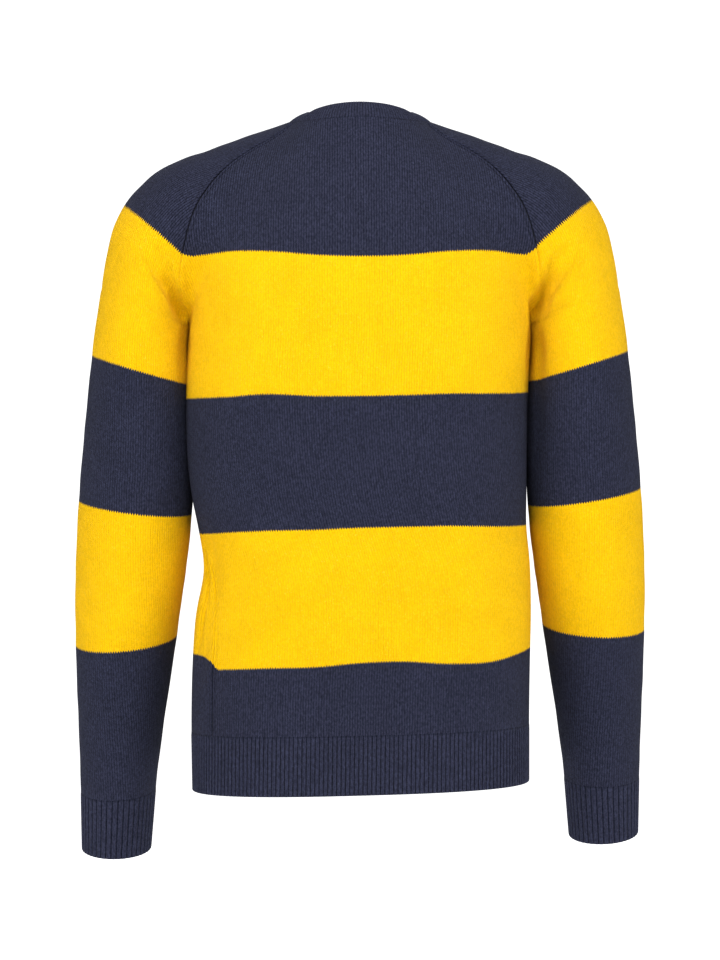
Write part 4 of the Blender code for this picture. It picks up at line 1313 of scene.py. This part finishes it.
# %% Helpers for node trees
def new_group(name, inputs, outputs):
    tree = bpy.data.node_groups.new(name, "ShaderNodeTree")
    for label, value in inputs:
        kind = "NodeSocketColor" if isinstance(value, tuple) else "NodeSocketFloat"
        tree.interface.new_socket(label, in_out="INPUT", socket_type=kind).default_value = value
    for label, kind in outputs:
        tree.interface.new_socket(label, in_out="OUTPUT", socket_type=kind)
    return tree, tree.nodes.new("NodeGroupInput").outputs, tree.nodes.new("NodeGroupOutput").inputs


def put(tree, socket, value):
    """Gives a socket a value, or links another node's socket to it."""
    if isinstance(value, bpy.types.NodeSocket):
        tree.links.new(value, socket)
    else:
        socket.default_value = value


def math(tree, operation, *values):
    """The output of a Math node over these values or sockets."""
    node = tree.nodes.new("ShaderNodeMath")
    node.operation = operation
    for socket, value in zip(node.inputs, values):
        put(tree, socket, value)
    return node.outputs[0]


def ramp(tree, value, low, high, to_low=0.0, to_high=1.0):
    """Smoothly from to_low to to_high while the value goes from low to high."""
    node = tree.nodes.new("ShaderNodeMapRange")
    node.interpolation_type = "SMOOTHSTEP"
    for socket, number in zip(node.inputs, (value, low, high, to_low, to_high)):
        put(tree, socket, number)
    return node.outputs[0]


def noise(tree, vector, scale, detail=2.0, roughness=0.5, distortion=0.0):
    node = tree.nodes.new("ShaderNodeTexNoise")
    put(tree, node.inputs["Vector"], vector)
    put(tree, node.inputs["Scale"], scale)
    node.inputs["Detail"].default_value = detail
    node.inputs["Roughness"].default_value = roughness
    node.inputs["Distortion"].default_value = distortion
    return node.outputs["Fac"]


def mix(tree, share, a, b):
    """Colour a where the share is 0 and b where it is 1."""
    node = tree.nodes.new("ShaderNodeMix")
    node.data_type = "RGBA"
    put(tree, node.inputs["Factor"], share)
    put(tree, node.inputs["A"], a)
    put(tree, node.inputs["B"], b)
    return node.outputs["Result"]


def scaled(tree, colour, value):
    """The colour made lighter or darker by a factor."""
    node = tree.nodes.new("ShaderNodeVectorMath")
    node.operation = "SCALE"
    put(tree, node.inputs[0], colour)
    put(tree, node.inputs["Scale"], value)
    return node.outputs[0]


# %% [markdown]
# ## Stitches
# On the right side of plain knitting each stitch is a V, and the V's of one wale stand on each other.
# They are too small and too many to model, so a group of nodes draws them from the knitting's map: a
# sine over slanted courses for the legs, less a gap between wales and a cleft in the middle of each V.

# %% Stitches
WALE = 0.0026
COURSE = 0.0020
# How far a leg of the V slants between the wale's middle and its edge, in courses
LEG_RISE = 0.75
# Shares of the half wale: where the gap between wales begins, and where the V's cleft ends
GAP_FROM = 0.62
CLEFT_TO = 0.22
# The height of a leg's ends, how much higher its middle is, and how much the cleft takes away
LEG_LOW, LEG_RELIEF, CLEFT_DEPTH = 0.55, 0.45, 0.25


def make_stitches():
    inputs = [("Across", 0.0), ("Along", 0.0), ("Wale", WALE), ("Course", COURSE)]
    outputs = [("Height", "NodeSocketFloat"), ("Gap", "NodeSocketFloat")]
    tree, given, result = new_group("Knit stitches", inputs, outputs)
    wale = math(tree, "FRACT", math(tree, "DIVIDE", given["Across"], given["Wale"]))
    aside = math(tree, "MULTIPLY", math(tree, "ABSOLUTE", math(tree, "SUBTRACT", wale, 0.5)), 2.0)
    course = math(tree, "DIVIDE", given["Along"], given["Course"])
    rise = math(tree, "MULTIPLY_ADD", aside, LEG_RISE, course)
    leg = math(tree, "SINE", math(tree, "MULTIPLY", math(tree, "FRACT", rise), np.pi))
    gap = ramp(tree, aside, GAP_FROM, 1.0)
    cleft = ramp(tree, aside, CLEFT_TO, 0.0)
    body = math(tree, "MULTIPLY_ADD", leg, LEG_RELIEF, LEG_LOW)
    body = math(tree, "MULTIPLY", body, math(tree, "SUBTRACT", 1.0, gap))
    body = math(tree, "MULTIPLY", body, math(tree, "MULTIPLY_ADD", cleft, -CLEFT_DEPTH, 1.0))
    tree.links.new(body, result["Height"])
    tree.links.new(gap, result["Gap"])
    return tree


STITCHES = make_stitches()
print(STITCHES.name + ":", len(STITCHES.nodes), "nodes")

# %% [markdown]
# ## Nap
# Brushed wool has a nap: single fibres that catch the light, drawn as painted highlights, small tufts that
# lean down the jumper, and a cloudy tone over wider patches. Hair could grow it, but so short a nap is seen
# as a grain only, and noise at a few sizes gives that grain, in the colour and in the bump.

# %% Nap
FIBRE_SIZE = 0.0011
TUFT_SIZE = 0.0018
FIBRE_NOISE = {"detail": 3.0, "roughness": 0.65, "distortion": 0.8}
# Flecks to the metre. A fibre gets the more painted highlight, the higher its own noise and the flecks' are
# in these ranges.
FLECKS = 420.0
HIGHLIGHT_FIBRES = (0.50, 0.78)
HIGHLIGHT_FLECKS = (0.35, 0.75)
# Tufts lean down the jumper, so their pattern is drawn out along its height
DRAWN_OUT = (1.0, 1.0, 0.6)
TUFT_RANGE = (0.28, 0.72, -1.0, 1.0)
# Clouds to the metre, with how much each size counts
BROAD_CLOUDS, BROAD_SHARE = 26.0, 0.6
SMALL_CLOUDS, SMALL_SHARE = 130.0, 0.4


def make_nap():
    inputs = [("Fibre size", FIBRE_SIZE), ("Tuft size", TUFT_SIZE)]
    outputs = [(label, "NodeSocketFloat") for label in ("Height", "Fibre highlights", "Tufts", "Mottle")]
    tree, given, result = new_group("Wool nap", inputs, outputs)
    place = tree.nodes.new("ShaderNodeTexCoord").outputs["Object"]
    fine = noise(tree, place, math(tree, "DIVIDE", 1.0, given["Fibre size"]), **FIBRE_NOISE)
    tree.links.new(fine, result["Height"])
    flecks = ramp(tree, noise(tree, place, FLECKS), *HIGHLIGHT_FLECKS)
    # Painted highlight: fibres that catch the light are drawn paler
    pale = math(tree, "MULTIPLY", ramp(tree, fine, *HIGHLIGHT_FIBRES), flecks)
    tree.links.new(pale, result["Fibre highlights"])
    drawn = tree.nodes.new("ShaderNodeVectorMath")
    drawn.operation = "MULTIPLY"
    tree.links.new(place, drawn.inputs[0])
    drawn.inputs[1].default_value = DRAWN_OUT
    tuft = noise(tree, drawn.outputs[0], math(tree, "DIVIDE", 1.0, given["Tuft size"]))
    tree.links.new(ramp(tree, tuft, *TUFT_RANGE), result["Tufts"])
    broad = noise(tree, place, BROAD_CLOUDS, detail=3.0)
    small = noise(tree, place, SMALL_CLOUDS)
    mottle = math(tree, "MULTIPLY_ADD", broad, BROAD_SHARE, math(tree, "MULTIPLY", small, SMALL_SHARE))
    tree.links.new(mottle, result["Mottle"])
    return tree


NAP = make_nap()
print(NAP.name + ":", len(NAP.nodes), "nodes")

# %% [markdown]
# ## Stripes
# A painted picture of the stripes would blur close to. The group compares the level that each point
# carries with the four edges, after it has moved the edge up and down by a tooth at each wale, as the
# V's of two colours lock into each other, and by a little unevenness of the yarn.

# %% Stripes
TOOTH = 0.0022
EDGE_SOFT = 0.0004
# How far the yarn's unevenness moves an edge, and its waves to the metre
UNEVEN = 0.0012
UNEVEN_WAVES = 500.0


def make_stripes():
    inputs = [("Level", 0.0), ("Across", 0.0), ("Wale", WALE), ("Tooth", TOOTH)]
    tree, given, result = new_group("Stripes", inputs, [("Yellow", "NodeSocketFloat")])
    wale = math(tree, "FRACT", math(tree, "DIVIDE", given["Across"], given["Wale"]))
    aside = math(tree, "ABSOLUTE", math(tree, "SUBTRACT", wale, 0.5))
    up_down = math(tree, "SUBTRACT", math(tree, "MULTIPLY", aside, 2.0), 0.5)
    tooth = math(tree, "MULTIPLY", up_down, given["Tooth"])
    place = tree.nodes.new("ShaderNodeTexCoord").outputs["Object"]
    wave = math(tree, "SUBTRACT", noise(tree, place, UNEVEN_WAVES), 0.5)
    uneven = math(tree, "MULTIPLY", wave, UNEVEN)
    level = math(tree, "ADD", math(tree, "ADD", given["Level"], tooth), uneven)
    passed = [ramp(tree, level, edge + EDGE_SOFT, edge - EDGE_SOFT) for edge in STRIPE_EDGES]
    first = math(tree, "SUBTRACT", passed[0], passed[1])
    second = math(tree, "SUBTRACT", passed[2], passed[3])
    tree.links.new(math(tree, "ADD", first, second), result["Yellow"])
    return tree


STRIPES = make_stripes()
print(STRIPES.name + ":", len(STRIPES.nodes), "nodes")

# %% [markdown]
# ## The two wools
# The panels and the ribs are of the same yarn, but ribs have no stripes and their map counts ribs. One
# function makes both materials from the groups. Fine wool has almost no shine, so the Principled shader
# is rough, with a little sheen for the fibres that stand up at the outline.

# %% The wool's colours
# Each colour has a darker tone, painted shade for the hollows of the stitches and the nap, and a paler one,
# painted highlight for fibres that catch the light
NAVY = (0.0300, 0.0325, 0.0560, 1.0)
NAVY_HOLLOW_SHADE = (0.0085, 0.0095, 0.0200, 1.0)
NAVY_FIBRE_HIGHLIGHT = (0.0620, 0.0740, 0.1250, 1.0)
YELLOW = (0.725, 0.440, 0.0020, 1.0)
YELLOW_HOLLOW_SHADE = (0.580, 0.262, 0.0008, 1.0)
YELLOW_FIBRE_HIGHLIGHT = (0.800, 0.600, 0.1300, 1.0)
# How much lighter and darker the tufts make each colour, and how much painted shade the gaps between
# wales and the grooves between ribs get. The nap hides the gaps below the yoke.
NAVY_TUFTS, NAVY_GAP_SHADE, NAVY_YOKE_GAP_SHADE = 0.28, 0.06, 0.26
YELLOW_TUFTS, YELLOW_GAP_SHADE = 0.07, 0.0
RIB_GROOVE_SHADE = 0.10
YOKE_FROM, YOKE_TO = -0.175, -0.125
# How much the tone that sets the painted shade in the hollows comes from the stitches and from the nap,
# the tones at which that shade begins and is darkest, how strong it is on the yellow, and how strong the
# fibres' painted highlights are
STITCH_TONE, NAP_TONE = 0.55, 0.45
DARKENS_FROM, DARKEST_AT = 0.62, 0.20
YELLOW_HOLLOW_SHADE_SHARE = 0.35
NAVY_HIGHLIGHT_SHARE, YELLOW_HIGHLIGHT_SHARE = 0.75, 0.65
# Painted shade along the raglan seam's groove, and fainter painted shade along the groove where its
# stitches were narrowed: the distances at which each begins and is darkest, and the shades there
SEAM_GROOVE_SHADE = (0.0013, 0.0002, 1.0, 0.42)
NARROWED_AT = 0.0042
NARROWED_GROOVE_SHADE = (0.0007, 0.0001, 1.0, 0.72)
# Painted shade along a strip's sewn end, where it is linked, in the same way
SEWN_END_SHADE = (0.0026, 0.0004, 1.0, 0.70)
# The clouds' strength and the shade that they start from
MOTTLE, MOTTLE_FROM = 0.30, 0.85

# %% The wool's surface
NAP_RELIEF = 0.6
BUMP_STRENGTH, BUMP_DEPTH = 0.9, 0.0006
WOOL_SURFACE = {
    "Roughness": 0.92,
    "Specular IOR Level": 0.06,
    "Sheen Weight": 0.03,
    "Sheen Roughness": 0.55,
}


def use(tree, group, **given):
    """A group placed in a material, with values or sockets for its inputs."""
    node = tree.nodes.new("ShaderNodeGroup")
    node.node_tree = group
    for label, value in given.items():
        put(tree, node.inputs[label.replace("_", " ")], value)
    return node.outputs


def point_mark(tree, name):
    """A number that the mesh carries at each point."""
    node = tree.nodes.new("ShaderNodeAttribute")
    node.attribute_name = name
    return node.outputs["Fac"]


def tufts_and_gap_shade(tree, colour, stitches, nap, tufts, gaps):
    """A colour made lighter and darker by the tufts, with painted shade in the gaps between wales."""
    lit = math(tree, "MULTIPLY_ADD", nap["Tufts"], tufts, 1.0)
    shut = math(tree, "MULTIPLY", stitches["Gap"], gaps)
    return scaled(tree, colour, math(tree, "SUBTRACT", lit, shut))


def wool(name, striped):
    """The knitted wool. On a panel its map is in metres, and on a rib it counts ribs across."""
    material = bpy.data.materials.new(name)
    material.use_nodes = True
    tree = material.node_tree
    shader = tree.nodes["Principled BSDF"]
    coordinates = tree.nodes.new("ShaderNodeUVMap")
    coordinates.uv_map = "knit"
    parts = tree.nodes.new("ShaderNodeSeparateXYZ")
    tree.links.new(coordinates.outputs["UV"], parts.inputs[0])
    across, along = parts.outputs["X"], parts.outputs["Y"]
    wale = WALE if striped else 1.0
    stitches = use(tree, STITCHES, Across=across, Along=along, Wale=wale, Course=COURSE)
    nap = use(tree, NAP)
    nap_tone = math(tree, "MULTIPLY", nap["Height"], NAP_TONE)
    tone = math(tree, "MULTIPLY_ADD", stitches["Height"], STITCH_TONE, nap_tone)
    # Where the stitches and the nap lie low, the colour gets painted shade
    deep = ramp(tree, tone, DARKENS_FROM, DARKEST_AT)
    navy = mix(tree, deep, NAVY, NAVY_HOLLOW_SHADE)
    # Painted highlights on fibres that catch the light
    navy = mix(tree, math(tree, "MULTIPLY", nap["Fibre highlights"], NAVY_HIGHLIGHT_SHARE), navy, NAVY_FIBRE_HIGHLIGHT)
    level = point_mark(tree, "level")
    # Painted shade in the gaps between wales, stronger on the yoke, and in the grooves between ribs
    gaps = ramp(tree, level, YOKE_FROM, YOKE_TO, NAVY_GAP_SHADE, NAVY_YOKE_GAP_SHADE) if striped else RIB_GROOVE_SHADE
    colour = tufts_and_gap_shade(tree, navy, stitches, nap, NAVY_TUFTS, gaps)
    if striped:
        # The yellow gets weaker painted shade in the same hollows
        yellow = mix(tree, math(tree, "MULTIPLY", deep, YELLOW_HOLLOW_SHADE_SHARE), YELLOW, YELLOW_HOLLOW_SHADE)
        yellow = mix(tree, math(tree, "MULTIPLY", nap["Fibre highlights"], YELLOW_HIGHLIGHT_SHARE), yellow, YELLOW_FIBRE_HIGHLIGHT)
        yellow = tufts_and_gap_shade(tree, yellow, stitches, nap, YELLOW_TUFTS, YELLOW_GAP_SHADE)
        stripes = use(tree, STRIPES, Level=level, Across=across, Wale=WALE)
        colour = mix(tree, stripes["Yellow"], colour, yellow)
        near = point_mark(tree, "seam")
        # Painted shade along the seam's groove and the narrowed line, on the navy only
        line = ramp(tree, near, *SEAM_GROOVE_SHADE)
        narrowing = math(tree, "ABSOLUTE", math(tree, "SUBTRACT", near, NARROWED_AT))
        line = math(tree, "MULTIPLY", line, ramp(tree, narrowing, *NARROWED_GROOVE_SHADE))
        line = math(tree, "MAXIMUM", line, stripes["Yellow"])
        colour = scaled(tree, colour, line)
    else:
        # Painted shade along the sewn end
        colour = scaled(tree, colour, ramp(tree, along, *SEWN_END_SHADE))
    colour = scaled(tree, colour, math(tree, "MULTIPLY_ADD", nap["Mottle"], MOTTLE, MOTTLE_FROM))
    tree.links.new(colour, shader.inputs["Base Color"])
    relief = math(tree, "MULTIPLY_ADD", nap["Height"], NAP_RELIEF, stitches["Height"])
    bump = tree.nodes.new("ShaderNodeBump")
    bump.inputs["Strength"].default_value = BUMP_STRENGTH
    bump.inputs["Distance"].default_value = BUMP_DEPTH
    tree.links.new(relief, bump.inputs["Height"])
    tree.links.new(bump.outputs["Normal"], shader.inputs["Normal"])
    for label, value in WOOL_SURFACE.items():
        shader.inputs[label].default_value = value
    return material


STRIPED = wool("striped wool", True)
RIBBED = wool("ribbed navy wool", False)
for name, obj in CLOTH.items():
    obj.data.materials.append(STRIPED if name in PANELS else RIBBED)
    print(name, "is of", obj.data.materials[0].name)

# %% [markdown]
# ## Studio
# The photograph is a cut-out on white, lit softly from both sides of the camera. Four soft lights and a
# white world do the same: wool shows its relief best when the light comes from the sides and from above.
# A pale floor lies well below the jumper, which hangs in the air as if worn.

# %% The floor
FLOOR = -1.20
FLOOR_HALF = 6
FLOOR_SURFACE = {
    "Base Color": (0.9, 0.9, 0.9, 1),
    "Roughness": 0.8,
    "Emission Color": (1, 1, 1, 1),
    "Emission Strength": 0.75,
}
corners = [(FLOOR_HALF * x, FLOOR_HALF * y, FLOOR) for x, y in ((-1, -1), (1, -1), (1, 1), (-1, 1))]
floor_mesh = bpy.data.meshes.new("floor")
floor_mesh.from_pydata(corners, [], [(0, 1, 2, 3)])
floor = bpy.data.objects.new("floor", floor_mesh)
bpy.context.scene.collection.objects.link(floor)
pale = bpy.data.materials.new("pale floor")
pale.use_nodes = True
for label, value in FLOOR_SURFACE.items():
    pale.node_tree.nodes["Principled BSDF"].inputs[label].default_value = value
floor_mesh.materials.append(pale)
print("floor at", FLOOR)

# %% The lights
LIGHTS = (
    # name, place, aim, size, watts
    ("left softbox", (2.3, 2.0, 0.7), (0.0, 0.0, -0.35), 1.5, 38),
    ("right softbox", (-2.3, 2.0, 0.7), (0.0, 0.0, -0.35), 1.5, 38),
    ("top softbox", (0.0, 1.3, 1.5), (0.0, 0.0, -0.10), 0.9, 36),
    ("front softbox", (0.0, -2.8, 1.0), (0.0, 0.0, -0.35), 2.0, 34),
)
for name, place, aim, size, watts in LIGHTS:
    lamp = bpy.data.lights.new(name, "AREA")
    lamp.size = size
    lamp.energy = watts
    obj = bpy.data.objects.new(name, lamp)
    obj.location = place
    way = np.array(aim) - place
    obj.rotation_euler = Vector(way).to_track_quat("-Z", "Y").to_euler()
    bpy.context.scene.collection.objects.link(obj)
    print(name, "of", watts, "watts")

# %% The world
# The camera sees it white, and its light on the jumper is much weaker
WORLD_LIGHT = 0.20
world = bpy.data.worlds.new("studio")
world.use_nodes = True
background = world.node_tree.nodes["Background"]
background.inputs["Color"].default_value = (1, 1, 1, 1)
path = world.node_tree.nodes.new("ShaderNodeLightPath")
strength = world.node_tree.nodes.new("ShaderNodeMapRange")
world.node_tree.links.new(path.outputs["Is Camera Ray"], strength.inputs["Value"])
strength.inputs["To Min"].default_value = WORLD_LIGHT
strength.inputs["To Max"].default_value = 1.0
world.node_tree.links.new(strength.outputs["Result"], background.inputs["Strength"])
bpy.context.scene.world = world
bpy.context.scene.view_settings.view_transform = "Standard"
bpy.context.scene.view_settings.look = "Medium High Contrast"

# %% The camera
# It stands behind the jumper, about level with its middle, and looks along -Y
CAMERA_PLACE = (0, 3.1, -0.335)
LENS = 150
SENSOR_WIDTH = 36
# The picture's middle is a little below the camera's height
CAMERA_SHIFT = -0.0486
camera = bpy.data.objects.new("camera", bpy.data.cameras.new("camera"))
bpy.context.scene.collection.objects.link(camera)
camera.location = CAMERA_PLACE
camera.rotation_euler = (np.pi / 2, 0, np.pi)
camera.data.sensor_fit = "HORIZONTAL"
camera.data.sensor_width = SENSOR_WIDTH
camera.data.lens = LENS
camera.data.shift_y = CAMERA_SHIFT
bpy.context.scene.camera = camera
